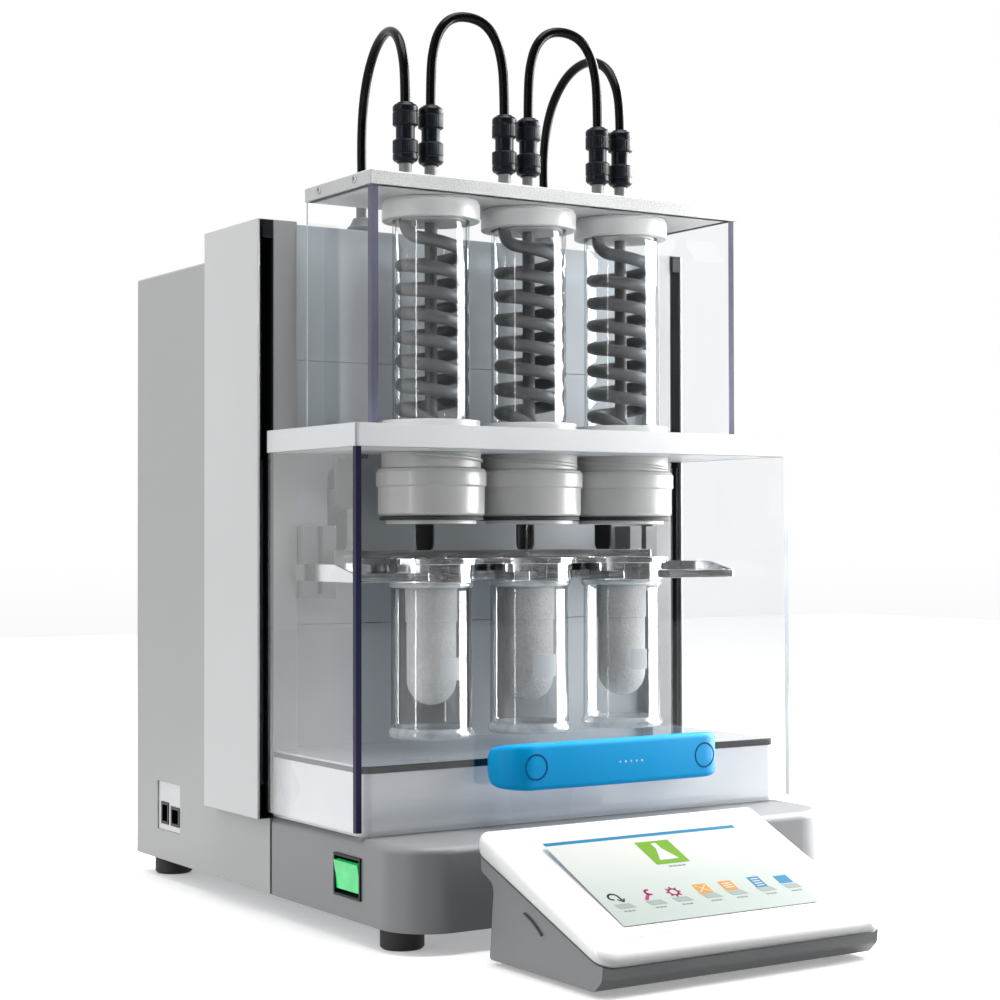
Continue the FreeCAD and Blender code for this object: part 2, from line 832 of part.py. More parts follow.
def thimble(x):
    r, w = thimble_radius, thimble_wall
    top = rack_plate_top - 0.5
    nose = thimble_bottom + r
    body = fuse([disc(r, nose, top, 0, 0), Part.makeSphere(r, V(0, 0, nose))])
    hollow = fuse([disc(r - w, nose, top + 1, 0, 0), Part.makeSphere(r - w, V(0, 0, nose))])
    rim = cup_radius - cup_wall - running_gap
    collar = [(r - 0.5, top - 26), (r + 0.6, top - 26), (r + 0.6, top - 14), (rim, top - 8), (rim, top),
              (r - 0.5, top)]
    made = fuse([body, turned(collar)]).cut(hollow)
    made.translate(V(x, condenser_y, 0))
    return made


def thimbles():
    return group([thimble(x) for x in centres])


def rack_wing():
    """One end of the rack: a low plate with an upturned side and a guide tongue at the back."""
    x0, x1 = condenser_pitch + 21.0, rack_half_width
    low, high = rack_bar_bottom, rack_bar_top
    plate = box(x0, x1, rack_front, rack_rear, low, high)
    side = side_profile([(rack_front, low), (rack_rear, low), (rack_rear, rack_side_top),
                         (rack_front + 26, rack_side_top), (rack_front, high)], x1 - 2, x1)
    tongue = box(guide_slot_x - tongue_half_width, guide_slot_x + tongue_half_width, rack_rear,
                 rack_rear + tongue_depth, low, rack_side_top)
    return fuse([plate, side, tongue])


def cup_rack():
    bore = cup_radius + 0.2
    x1 = condenser_pitch + 21.0
    plate_z = rack_plate_top - rack_plate_sheet
    plate_x = condenser_pitch + rack_disc_radius
    flange_x = guide_slot_x - 4
    parts = [mirrored(rack_wing()), rack_wing()]
    parts.append(box(-x1, x1, condenser_y + 10, rack_rear, rack_bar_bottom, rack_bar_top))
    parts.append(box(-plate_x, plate_x, condenser_y - 12, rack_flange_y, plate_z, rack_plate_top))
    parts.append(box(-flange_x, flange_x, rack_flange_y - rack_flange_sheet, rack_flange_y,
                     rack_bar_bottom, rack_flange_top))
    for x in centres:
        parts.append(disc(rack_ring_radius, rack_ring_bottom, rack_plate_top, x, condenser_y))
        parts.append(disc(rack_disc_radius, plate_z, rack_plate_top, x, condenser_y))
        parts.append(box(x - 21 - rack_lug_width, x - 21, rack_front, condenser_y - 12, rack_bar_bottom,
                         rack_bar_top))
    body = fuse(parts)
    return cut(body, [disc(bore, rack_ring_bottom - 1, rack_plate_top + 1, x, condenser_y) for x in centres])


def one_rail():
    """A guide block on the wall. The rack's tongue slides down its groove as far as the groove's floor."""
    gap = running_gap
    x0, x1 = guide_slot_x - rail_half_width, guide_slot_x + rail_half_width
    half = tongue_half_width + gap
    floor = rack_bar_bottom - rack_drop - gap
    block = box(x0, x1, rack_rear + gap, wall_setback - fit_gap, floor - rail_floor, rack_rail_top)
    groove = box(guide_slot_x - half, guide_slot_x + half, rack_rear, rack_rear + tongue_depth + gap, floor,
                 rack_rail_top + 1)
    return block.cut(groove)


def rack_rails():
    return group([mirrored(one_rail()), one_rail()])


# Lifting shield: frame, clear panels, guide shoes and handle
def shield_frame():
    opening_x = board_half_width + frame_gap
    outer = box(-shield_half_width, shield_half_width, shield_front, frame_rear, frame_bottom, frame_top)
    outer = rounded(outer, 3.0, is_upright)
    hole = box(-opening_x, opening_x, board_front - frame_gap, 0, frame_bottom, frame_top)
    return outer.cut(hole)


def shield_side_panel():
    x1 = shield_half_width
    rear = shoe_reach
    return box(x1 - panel_sheet, x1, shield_front, rear, shield_bottom, frame_bottom)


def shield_front_panel():
    x1 = shield_half_width - panel_sheet
    return box(-x1, x1, shield_front, shield_front + panel_sheet, shield_bottom, frame_bottom)


def one_shoe():
    x0 = pillar_x + liner_wall + shoe_clearance
    x1 = slot_outer - liner_wall - shoe_clearance
    block = box(x0, x1, 2.0, shoe_reach + 4, shoe_bottom, shoe_top)
    groove = box(shield_half_width - panel_sheet, shield_half_width, 0, shoe_reach, shoe_bottom, shoe_top)
    return block.cut(groove)


def shield_shoes():
    return group([mirrored(one_shoe()), one_shoe()])


def handle_grip():
    middle = (handle_left + handle_right) / 2
    half = (handle_right - handle_left) / 2
    back = shield_front
    front = shield_front - handle_reach
    bend = handle_bend
    slant = handle_root_slant
    root = back - handle_root_depth
    t = handle_thickness
    outer = face_of([V(-half + slant, back, 0), V(-half, root, 0), V(-half + bend, front, 0),
                     V(half - bend, front, 0), V(half, root, 0), V(half - slant, back, 0)])
    inner = face_of([V(-half + slant + t, back, 0), V(-half + t + 1, root, 0),
                     V(-half + bend + t, front + t, 0), V(half - bend - t, front + t, 0),
                     V(half - t - 1, root, 0), V(half - slant - t, back, 0)])
    height = handle_top - handle_bottom
    bar = outer.cut(inner).extrude(V(0, 0, height))
    bar = rounded(bar, handle_corner, lambda e: is_upright(e) and e.BoundBox.YMax < front + 0.5)
    bar = rounded(bar, handle_corner - t / 2,
                  lambda e: is_upright(e) and front + t - 0.5 < e.BoundBox.YMax < root - 5)
    bar = rounded(bar, handle_round, lambda e: e.BoundBox.ZLength < 1e-6 and e.BoundBox.YMax < back - 0.5)
    bar.translate(V(middle, 0, handle_bottom))
    return bar


# Hoses: stiff tubes that stand in arches between their fittings, made of straight runs and tangent arcs
def hose_path(points):
    pieces = []
    radii = []
    last = points[0]
    for before, here, after in zip(points, points[1:], points[2:]):
        into = (here - before).normalize()
        out = (after - here).normalize()
        turn = into.getAngle(out)
        shorter = min((here - before).Length, (after - here).Length)
        reach = 0.45 * shorter
        radius = reach / math.tan(turn / 2)
        radii.append(radius)
        enter = here - into * reach
        leave = here + out * reach
        bisector = (out - into).normalize()
        middle = here + bisector * (radius / math.cos(turn / 2) - radius)
        pieces.append(Part.LineSegment(last, enter).toShape())
        pieces.append(Part.Arc(enter, middle, leave).toShape())
        last = leave
    pieces.append(Part.LineSegment(last, points[-1]).toShape())
    return Part.Wire(pieces), radii


def hose(name, points):
    path, radii = hose_path(points)
    heading = (points[1] - points[0]).normalize()
    section = Part.Wire([Part.Circle(points[0], heading, hose_radius).toShape()])
    tube = path.makePipeShell([section], True, False)
    ideal = math.pi * hose_radius ** 2 * path.Length
    print(name, "radii", [round(r, 1) for r in radii], "length", round(path.Length, 1),
          "volume ratio", round(tube.Volume / ideal, 4))
    return tube


# Half of a bridge hose's arch, as shares of its half span and of its rise over the connector's top
bridge_half = [(1.0, -0.09), (1.0, 0.24), (0.955, 0.571), (0.76, 0.842), (0.34, 1.0)]


def bridge_points(x0, x1):
    z = connector_bottom + connector_height
    middle, half = (x0 + x1) / 2, (x1 - x0) / 2
    left = [V(middle - half * s, condenser_y, z + bridge_rise * h) for s, h in bridge_half]
    right = [V(middle + half * s, condenser_y, z + bridge_rise * h) for s, h in reversed(bridge_half)]
    return left + right


# Points of the supply and return hoses, as shares of the way from the connector to the tower's fitting and of
# their rise over the connector's top
supply_way = [(0.0, -0.098), (0.0, 0.23), (0.04, 0.541), (0.17, 0.836), (0.40, 1.0), (0.66, 0.934),
              (0.86, 0.672), (0.97, 0.311), (1.01, -0.115), (1.0, -0.59), (1.0, -1.066)]


def supply_points(x0, x1):
    z = connector_bottom + connector_height
    made = []
    for share, height in supply_way:
        sway = supply_sway * math.sin(math.pi * share)
        made.append(V(x0 + (x1 - x0) * share + sway, condenser_y + (fitting_y - condenser_y) * share,
                      z + supply_rise * height))
    return made


def hose_connectors():
    z0 = connector_bottom
    z1 = z0 + connector_height
    low, high = z0 + connector_collar, z1 - connector_collar
    stem_end = z0 + stem_in_connector + 2
    made = []
    for x in centres:
        for dx in (-coil_radius, 0.0):
            r, neck = connector_radius, connector_neck_radius
            profile = [(coil_tube_radius + fit_gap, z0), (r - 2.5, z0), (r, z0 + 2.5), (r, low - 0.8),
                       (r - 0.8, low), (neck, low), (neck, high), (r - 0.8, high), (r, high + 0.8),
                       (r, z1 - 2.5), (r - 2.5, z1), (hose_radius + fit_gap, z1),
                       (hose_radius + fit_gap, z1 - 14), (hose_bore, z1 - 14), (hose_bore, stem_end),
                       (coil_tube_radius + fit_gap, stem_end)]
            made.append(turned(profile, x + dx, condenser_y))
    return group(made)


# Touch pad: a wedge with a tilted white top shell, standing apart on the bench
def pad_top_z(y):
    return pad_front_top + pad_slope * (y - pad_front)


def pad_seam_z(y):
    return pad_front_top - pad_shell_front + pad_seam_slope * (y - pad_front)


def pad_plan(inset):
    """The pad's plan, with round corners, as a block taller than the pad."""
    z1 = 2 * pad_top_z(pad_rear)
    plan = box(pad_left + inset, pad_right - inset, pad_front - 10 + inset, pad_rear + 15 - inset, -1, z1)
    return rounded(plan, pad_corner - inset, is_upright)


def pad_top_shell():
    front, rear = pad_front - 2, pad_rear + 14
    outline = [(front, pad_top_z(front), 3.0), (pad_rear + 5, pad_top_z(pad_rear + 5), 11.0),
               (rear, pad_top_z(rear) - 14, 6.0), (rear - 1, pad_seam_z(rear - 1), 0.0),
               (front + 3, pad_seam_z(front + 3), 0.0), (front, pad_seam_z(front) + 3, 2.0)]
    shell = soft_profile(outline, pad_left, pad_right).common(pad_plan(0.0))
    return shell.cut(screen_block(screen_sheet))


def screen_block(sheet):
    """A block in the top face that the display fills."""
    tilt = math.degrees(math.atan(pad_slope))
    block = box(screen_left, screen_right, -screen_length, 0, -sheet, 0)
    block.rotate(V(0, 0, 0), V(1, 0, 0), tilt)
    block.translate(V(0, screen_rear, pad_top_z(screen_rear)))
    return block


def pad_screen():
    return screen_block(screen_sheet)


def pad_base():
    foot = pad_foot_height
    rear = pad_rear + 13
    front = pad_front + 1.5
    seam = pad_seam_z(rear)
    outline = [(pad_front + 10, foot, 4.0), (pad_rear - 2, foot, 2.0), (pad_rear - 7, seam - 19, 8.0),
               (rear - 4, seam - 12, 9.0), (rear, seam, 0.0),
               (front, pad_seam_z(front), 0.0), (front + 1, foot + 7, 4.0)]
    body = soft_profile(outline, pad_left + pad_inset, pad_right - pad_inset)
    body = body.common(pad_plan(pad_inset))
    parts = [body]
    for x in (pad_left + 20, pad_right - 20):
        for y in (pad_front + 34, pad_rear - 14):
            parts.append(disc(pad_foot_radius, 0, foot + 0.5, x, y))
    return fuse(parts)


def build():
    left_cover = mirrored(side_cover())
    left_panel = mirrored(shield_side_panel())
    nodes = {
        "cabinet_shell": cabinet_shell(),
        "cabinet_back": cabinet_back(),
        "chassis_plate": chassis_plate(),
        "feet": feet(),
        "pillars": pillars(),
        "left_side_cover": left_cover,
        "right_side_cover": side_cover(),
        "slot_liners": slot_liners(),
        "wall_top_panel": wall_top_panel(),
        "wall_slot_panel": wall_slot_panel(),
        "wall_bottom_panel": wall_bottom_panel(),
        "base_housing": base_housing(),
        "deck_housing": deck_housing(),
        "plate_frame": plate_frame(),
        "hot_plate": hot_plate(),
        "heater_blocks": heater_blocks(),
        "switch_bezel": switch_bezel(),
        "switch_rocker": switch_rocker(),
        "port_plate": port_plate(),
        "port_sockets": port_sockets(),
        "mains_inlet": mains_inlet(),
        "water_ports": water_ports(),
        "hose_fittings": hose_fittings(),
        "guide_rods": guide_rods(),
        "lift_screw": lift_screw(),
        "lift_motor": lift_motor(),
        "lift_carriage": lift_carriage(),
        "top_board": top_board(),
        "head_floor": head_floor(),
        "head_side_panels": head_side_panels(),
        "head_front_panel": head_front_panel(),
        "condenser_caps": condenser_caps(),
        "tube_seats": tube_seats(),
        "condenser_tubes": condenser_tubes(),
        "cooling_coils": cooling_coils(),
        "collar_necks": collar_necks(),
        "gaskets": gaskets(),
        "seal_discs": seal_discs(),
        "hose_connectors": hose_connectors(),
        "cups": cups(),
        "thimbles": thimbles(),
        "cup_rack": cup_rack(),
        "rack_rails": rack_rails(),
        "shield_frame": shield_frame(),
        "shield_left_panel": left_panel,
        "shield_right_panel": shield_side_panel(),
        "shield_front_panel": shield_front_panel(),
        "shield_shoes": shield_shoes(),
        "handle_grip": handle_grip(),
        "pad_base": pad_base(),
        "pad_top_shell": pad_top_shell(),
        "pad_screen": pad_screen(),
    }
    for number, x in enumerate(centres, 1):
        nodes[f"locking_ring_{number}"] = locking_ring(x)
    left, middle, right = centres
    nodes["hose_bridge_1"] = hose("hose_bridge_1", bridge_points(left, middle - coil_radius))
    nodes["hose_bridge_2"] = hose("hose_bridge_2", bridge_points(middle, right - coil_radius))
    nodes["hose_inlet"] = hose("hose_inlet", supply_points(left - coil_radius, -fitting_x))
    nodes["hose_outlet"] = hose("hose_outlet", supply_points(right, fitting_x))
    return nodes


def centre_of(nodes):
    whole = Part.makeCompound(list(nodes.values())).optimalBoundingBox(False)
    return V(-(whole.XMin + whole.XMax) / 2, -(whole.YMin + whole.YMax) / 2, 0)


def main():
    os.makedirs("parts", exist_ok=True)
    nodes = build()
    shift = centre_of(nodes)
    for name, shape in nodes.items():
        shape.translate(shift)
        shape.exportStep(f"parts/{name}.step")
    print("nodes", len(nodes), "moved by", round(shift.x, 3), round(shift.y, 3))


main()
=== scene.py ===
# %% [markdown]
# # A solvent extraction unit and its touch pad
# The real object heats solvent in three glass cups, condenses the vapour on cooled coils above them, and
# lets it drip back through samples in paper thimbles. The CAD model gives every solid its true place. This
# scene keeps most of those solids, gives them their finishes, and makes the round, threaded, bent and
# see-through pieces again as smooth meshes in the same places.

import math

import bmesh
import bpy
from mathutils import Matrix, Vector


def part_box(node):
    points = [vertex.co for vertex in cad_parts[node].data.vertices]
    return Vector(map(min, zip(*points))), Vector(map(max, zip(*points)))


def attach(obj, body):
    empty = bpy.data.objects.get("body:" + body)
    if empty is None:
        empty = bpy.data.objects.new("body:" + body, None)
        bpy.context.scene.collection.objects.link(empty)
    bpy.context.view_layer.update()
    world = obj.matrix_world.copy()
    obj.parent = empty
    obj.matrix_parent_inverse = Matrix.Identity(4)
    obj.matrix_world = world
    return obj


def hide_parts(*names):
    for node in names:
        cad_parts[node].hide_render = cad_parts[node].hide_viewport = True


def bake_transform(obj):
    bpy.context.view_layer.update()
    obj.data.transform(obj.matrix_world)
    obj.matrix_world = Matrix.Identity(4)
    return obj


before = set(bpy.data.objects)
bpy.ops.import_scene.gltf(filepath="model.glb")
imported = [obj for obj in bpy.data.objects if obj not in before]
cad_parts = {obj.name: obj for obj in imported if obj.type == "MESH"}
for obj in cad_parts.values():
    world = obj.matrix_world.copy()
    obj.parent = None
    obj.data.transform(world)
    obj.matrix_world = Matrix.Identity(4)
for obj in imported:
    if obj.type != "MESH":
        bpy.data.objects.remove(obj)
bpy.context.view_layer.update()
scene = bpy.context.scene

# %% [markdown]
# The CAD model was drawn with its depth measured from the tower's front plane, in millimetres, and was then
# moved so that the origin lies under the middle of the set. All sizes below are written in those
# millimetres, and one small function takes them to the scene's metres.

# %% Millimetres of the unit to metres of the scene
MM = 0.001
DEPTH_SHIFT = 49.0
PITCH = 82.0
AXIS_Y = -60.0
CENTRES = (-PITCH, 0.0, PITCH)


def at(x, y, z):
    return Vector((x * MM, (y + DEPTH_SHIFT) * MM, z * MM))


tube_low, tube_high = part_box("condenser_tubes")
print("condensers' middle in Y", round((tube_low[1] + tube_high[1]) / 2 / MM - DEPTH_SHIFT, 2))

# %% [markdown]
# ## Camera
# The camera stands left of the unit, a little below the middle of its height, and looks up by one degree.
# Its place and focal length were worked out from the straight edges in the photograph, so it is set by
# numbers.

# %% Camera
VIEW_DIRECTION = Vector((0.542594, 0.839794, 0.018350))
VIEW_UP = Vector((-0.008322, -0.016470, 0.999830))
CAMERA_PLACE = at(-816.597, -1285.378, 261.370)
LENS = 73.69

lens_data = bpy.data.cameras.new("photo_camera")
lens_data.sensor_width = 36.0
lens_data.lens = LENS
lens_data.clip_start = 0.05
lens_data.clip_end = 30.0
camera = bpy.data.objects.new("photo_camera", lens_data)
scene.collection.objects.link(camera)
right = VIEW_DIRECTION.cross(VIEW_UP).normalized()
up = right.cross(VIEW_DIRECTION).normalized()
turn = Matrix((right, up, -VIEW_DIRECTION)).transposed().to_4x4()
camera.matrix_world = Matrix.Translation(CAMERA_PLACE) @ turn
scene.camera = camera
print("camera at", [round(c, 3) for c in camera.location])

# %% [markdown]
# ## Shader maths
# Every finish is made of numbers and colours that vary a little over the surface. One small class wraps a
# socket, so that those sums read like Python. Numbers go through Math nodes, and colours through Mix and
# Vector Math.

# %% Socket class
class Value:
    """One output socket of a material, for use in sums."""

    def __init__(self, look, socket):
        self.look = look
        self.socket = socket

    def sum(self, operation, first, second):
        return self.look.node("ShaderNodeMath", {"operation": operation}, {0: first, 1: second})

    def __add__(self, other):
        return self.sum("ADD", self, other)

    __radd__ = __add__

    def __sub__(self, other):
        return self.sum("SUBTRACT", self, other)

    def __rsub__(self, other):
        return self.sum("SUBTRACT", other, self)

    def __mul__(self, other):
        return self.sum("MULTIPLY", self, other)

    __rmul__ = __mul__

    def __gt__(self, other):
        return self.sum("GREATER_THAN", self, other)

    def __lt__(self, other):
        return self.sum("LESS_THAN", self, other)

    def __abs__(self):
        return self.sum("ABSOLUTE", self, 0.0)

    def between(self, low, high):
        return (self > low) * (self < high)

    def colours(self, first, second):
        """Goes from the first colour to the second as this number goes from 0 to 1."""
        return self.look.node("ShaderNodeMix", {"data_type": "RGBA"}, {0: self, 6: first, 7: second}, 2)

    def smooth(self, low, high, start=0.0, end=1.0):
        inputs = {0: self, 1: low, 2: high, 3: start, 4: end}
        return self.look.node("ShaderNodeMapRange", {"interpolation_type": "SMOOTHSTEP"}, inputs)


class Look:
    """A material, or the world, that is being made."""

    def __init__(self, name, world=None):
        self.owner = world or bpy.data.materials.new(name)
        self.owner.use_nodes = True
        self.tree = self.owner.node_tree
        self.tree.nodes.clear()
        self.place = self.node("ShaderNodeTexCoord", output="Object")

    def node(self, kind, settings=None, inputs=None, output=0):
        made = self.tree.nodes.new(kind)
        for key, value in (settings or {}).items():
            setattr(made, key, value)
        for key, value in (inputs or {}).items():
            if isinstance(value, Value):
                self.tree.links.new(value.socket, made.inputs[key])
            else:
                made.inputs[key].default_value = value
        return None if output is None else Value(self, made.outputs[output])

    def noise(self, scale, detail=3.0, roughness=0.5, place=None):
        inputs = {"Vector": place or self.place, "Scale": scale, "Detail": detail, "Roughness": roughness}
        return self.node("ShaderNodeTexNoise", None, inputs)

    def stretched(self, x, y, z):
        """The place on the object with each direction scaled, for grain that runs one way."""
        return self.node("ShaderNodeMapping", None, {"Vector": self.place, "Scale": (x, y, z)})

    def axes(self, vector):
        parts = self.tree.nodes.new("ShaderNodeSeparateXYZ")
        self.tree.links.new(vector.socket, parts.inputs[0])
        return [Value(self, out) for out in parts.outputs]

    def principled(self, color, roughness, normal=None, **constants):
        names = {"metallic": "Metallic", "coat": "Coat Weight", "coat_roughness": "Coat Roughness",
                 "ior": "IOR", "specular": "Specular IOR Level", "alpha": "Alpha", "sheen": "Sheen Weight",
                 "emission": "Emission Color", "strength": "Emission Strength"}
        inputs = {"Base Color": color, "Roughness": roughness}
        inputs.update({names[key]: value for key, value in constants.items()})
        if normal is not None:
            inputs["Normal"] = normal
        return self.node("ShaderNodeBsdfPrincipled", None, inputs)

    def bump(self, height, distance, strength=0.4, normal=None):
        inputs = {"Height": height, "Distance": distance, "Strength": strength}
        if normal is not None:
            inputs["Normal"] = normal
        return self.node("ShaderNodeBump", None, inputs)

    def soft_edges(self, radius):
        return self.node("ShaderNodeBevel", {"samples": 4}, {"Radius": radius})

    def front_mirror(self, ior, wave):
        """How much a surface mirrors, only where the ray meets it from outside."""
        back = self.node("ShaderNodeNewGeometry", output="Backfacing")
        return self.node("ShaderNodeFresnel", None, {"IOR": ior}) * (1.0 - back) * wave

    def finish(self, shader, kind="ShaderNodeOutputMaterial"):
        self.node(kind, None, {"Surface": shader}, None)
        return self.owner


def shade(color, factor):
    return (color[0] * factor, color[1] * factor, color[2] * factor, 1.0)


print("shader class ready")

# %% [markdown]
# ## Painted sheet
# The cabinet, tower, base and deck are powder-coated steel. Powder coat has a very fine orange peel, and
# its gloss and tone drift slightly over a large sheet, more where hands touch it. The Bevel node rounds the
# folded edges in the shading, because the CAD solids have sharp ones.

# %% Powder coat
def powder_coat(name, color, roughness=0.42, peel=0.00003, edge=0.0008, coat=0.0):
    look = Look(name)
    cloud = look.noise(9.0, 2.0)
    grain = look.noise(1400.0, 2.0)
    tone = cloud * 0.6 + grain * 0.4
    paint = tone.smooth(0.3, 0.7).colours(shade(color, 0.965), shade(color, 1.02))
    gloss = cloud.smooth(0.3, 0.7, roughness - 0.05, roughness + 0.06)
    peeled = look.bump(grain, peel, 0.35, look.soft_edges(edge))
    return look.finish(look.principled(paint, gloss, peeled, coat=coat, coat_roughness=0.1))


PAINTS = {
    "cabinet_grey": powder_coat("cabinet_grey", (0.46, 0.465, 0.47)),
    "pillar_grey": powder_coat("pillar_grey", (0.36, 0.37, 0.37)),
    "cover_white": powder_coat("cover_white", (0.72, 0.73, 0.735)),
    "wall_grey": powder_coat("wall_grey", (0.44, 0.48, 0.51), 0.38),
    "base_grey": powder_coat("base_grey", (0.25, 0.255, 0.263)),
    "deck_white": powder_coat("deck_white", (0.68, 0.71, 0.74), 0.30, coat=0.3),
    "frame_white": powder_coat("frame_white", (0.82, 0.85, 0.87), 0.36),
    "motor_dark": powder_coat("motor_dark", (0.03, 0.03, 0.035), 0.5),
}
print("paints", len(PAINTS))

# %% [markdown]
# ## Metal
# The rack and its rings are polished steel and mirror their surroundings. Rods and plates inside are plain
# machined steel, whose fine turning lines blur what they mirror along one direction.

# %% Metals
def steel(name, color, roughness, lines, edge=0.0004):
    look = Look(name)
    fine = look.noise(1.0, 2.0, place=look.stretched(*lines))
    cloud = look.noise(30.0)
    gloss = fine.smooth(0.3, 0.7, roughness * 0.75, roughness * 1.3) + cloud.smooth(0.4, 0.7, 0.0, 0.04)
    tone = cloud.smooth(0.3, 0.7).colours(shade(color, 0.94), shade(color, 1.04))
    scratched = look.bump(fine, 0.00001, 0.12, look.soft_edges(edge))
    return look.finish(look.principled(tone, gloss, scratched, metallic=1.0))


METALS = {
    "polished_steel": steel("polished_steel", (0.72, 0.73, 0.74), 0.11, (40, 900, 900)),
    "plain_steel": steel("plain_steel", (0.45, 0.46, 0.48), 0.32, (60, 60, 1800)),
    "dark_steel": steel("dark_steel", (0.10, 0.105, 0.11), 0.36, (60, 60, 1800)),
    "screw_steel": steel("screw_steel", (0.38, 0.39, 0.41), 0.28, (700, 700, 700)),
}
print("metals", len(METALS))

# %% [markdown]
# ## Moulded plastic and rubber
# The locking rings, caps, handle and pad are injection-moulded, with a soft sheen and very low grain. The
# feet and gaskets are dull rubber, and the hoses are extruded, smooth and glossy.

# %% Plastics
def moulded(name, color, roughness=0.35, grain=0.00002, coat=0.0, drift=0.03, specular=0.5, edge=0.0005):
    look = Look(name)
    cloud = look.noise(22.0, 3.0)
    fine = look.noise(2600.0, 2.0)
    mixed = (cloud * 0.7 + fine * 0.3).smooth(0.3, 0.7)
    tone = mixed.colours(shade(color, 1 - drift), shade(color, 1 + drift))
    gloss = cloud.smooth(0.3, 0.7, roughness - 0.04, roughness + 0.05)
    skin = look.bump(fine, grain, 0.3, look.soft_edges(edge))
    shader = look.principled(tone, gloss, skin, coat=coat, coat_roughness=0.08, specular=specular)
    return look.finish(shader)


PLASTICS = {
    "collar_grey": moulded("collar_grey", (0.64, 0.63, 0.61), 0.34, coat=0.15),
    "neck_grey": moulded("neck_grey", (0.62, 0.61, 0.59), 0.36),
    "cap_white": moulded("cap_white", (0.78, 0.78, 0.77), 0.36),
    "seal_white": moulded("seal_white", (0.80, 0.80, 0.79), 0.38),
    "black_plastic": moulded("black_plastic", (0.010, 0.011, 0.014), 0.36, 0.00004, specular=0.2),
    "connector_black": moulded("connector_black", (0.004, 0.006, 0.010), 0.3, 0.00003, specular=0.12),
    "hose_black": moulded("hose_black", (0.003, 0.0035, 0.004), 0.13, 0.000005, specular=0.065, edge=0.0002),
    "rubber_black": moulded("rubber_black", (0.012, 0.012, 0.012), 0.72, 0.00006),
    "handle_blue": moulded("handle_blue", (0.001, 0.40, 0.85), 0.45, 0.00003, drift=0.015, specular=0.1),
    "port_white": moulded("port_white", (0.78, 0.79, 0.80), 0.4),
    "pad_white": moulded("pad_white", (0.90, 0.905, 0.91), 0.27, coat=0.3, drift=0.015),
    "pad_grey": moulded("pad_grey", (0.225, 0.232, 0.24), 0.42, 0.00004),
    "mark_grey": moulded("mark_grey", (0.30, 0.32, 0.34), 0.5),
    "mark_dark": moulded("mark_dark", (0.05, 0.055, 0.06), 0.5),
    "band_black": moulded("band_black", (0.006, 0.007, 0.010), 0.3, specular=0.08),
    "dot_white": moulded("dot_white", (0.62, 0.82, 0.93), 0.4),
    # Dark blue of the handle's rings: painted shade of their shallow grooves.
    "handle_groove_shade": moulded("handle_groove_shade", (0.001, 0.10, 0.30), 0.6, specular=0.05),
    "patch_grey": moulded("patch_grey", (0.76, 0.79, 0.80), 0.6),
    "line_blue": moulded("line_blue", (0.36, 0.48, 0.60), 0.5, specular=0.1),
    "coil_grey": moulded("coil_grey", (0.15, 0.155, 0.16), 0.46, 0.00003),
    "rail_grey": moulded("rail_grey", (0.20, 0.215, 0.225), 0.4),
    "fitting_grey": moulded("fitting_grey", (0.06, 0.066, 0.076), 0.4, specular=0.2),
}
for name, color in (("ui_blue", (0.01, 0.27, 0.52)), ("ui_green", (0.20, 0.45, 0.01)),
                    ("ui_orange", (0.83, 0.36, 0.02)), ("ui_magenta", (0.55, 0.01, 0.19)),
                    ("ui_dark", (0.02, 0.025, 0.03)), ("ui_white", (0.86, 0.88, 0.88)),
                    ("ui_grey", (0.34, 0.36, 0.36)), ("ui_shadow", (0.40, 0.48, 0.46))):
    PLASTICS[name] = moulded(name, shade(color, 0.62), 0.45, 0.000005, 0.0, 0.02, 0.05)
print("plastics", len(PLASTICS))

# %% [markdown]
# ## Clear acrylic and glass
# The shield and the head's panels are clear sheet. A flat sheet doesn't bend what is behind it, so a
# see-through shader with a Fresnel mirror on it looks right and lets light in, where a refracting one would
# throw a dark shadow. Cut edges of acrylic gather light, and their colour here is painted light and shade:
# deep blue on the shaded front and left sheets of the shield, lilac on the head's panels, pale on the lit
# right sheet. They are the faces whose normal points along the sheet, so the material finds them by the
# Normal.

# %% Clear sheet
def clear_sheet(name, thin_axis, painted_edge_light, glued_until=None, shine=1.0, tint=(0.992, 0.995, 0.998, 1.0)):
    """A clear sheet. In front of the depth glued_until, a left sheet shows the end of the front sheet."""
    look = Look(name)
    smear = look.noise(9.0, 3.0)
    normal = look.node("ShaderNodeNewGeometry", output="Normal")
    outside = 1 - look.node("ShaderNodeNewGeometry", output="Backfacing")
    on_edge = abs(look.axes(normal)[thin_axis]) < 0.5
    if glued_until is not None:
        spot = look.axes(look.place)
        on_edge = (on_edge + (spot[1] < glued_until) * (spot[0] < 0.0)) > 0.5
    on_edge = on_edge * outside
    through = look.node("ShaderNodeBsdfTransparent", None, {"Color": tint})
    mirror = look.node("ShaderNodeBsdfGlossy", None, {"Color": (1, 1, 1, 1), "Roughness": 0.03})
    gleam = look.front_mirror(1.49, smear.smooth(0.3, 0.7, 0.85 * shine, shine))
    sheet = look.node("ShaderNodeMixShader", None, {0: gleam, 1: through, 2: mirror})
    streak = look.noise(1.0, 3.0, place=look.stretched(60, 60, 12))
    # The cut edges' colour is painted light and shade: pale on a lit sheet, dark on a shaded one.
    painted_edge_tone = streak.smooth(0.3, 0.7).colours(shade(painted_edge_light, 0.75), shade(painted_edge_light, 1.2))
    edge = look.principled(painted_edge_tone, 0.3, specular=0.15)
    return look.finish(look.node("ShaderNodeMixShader", None, {0: on_edge, 1: sheet, 2: edge}))


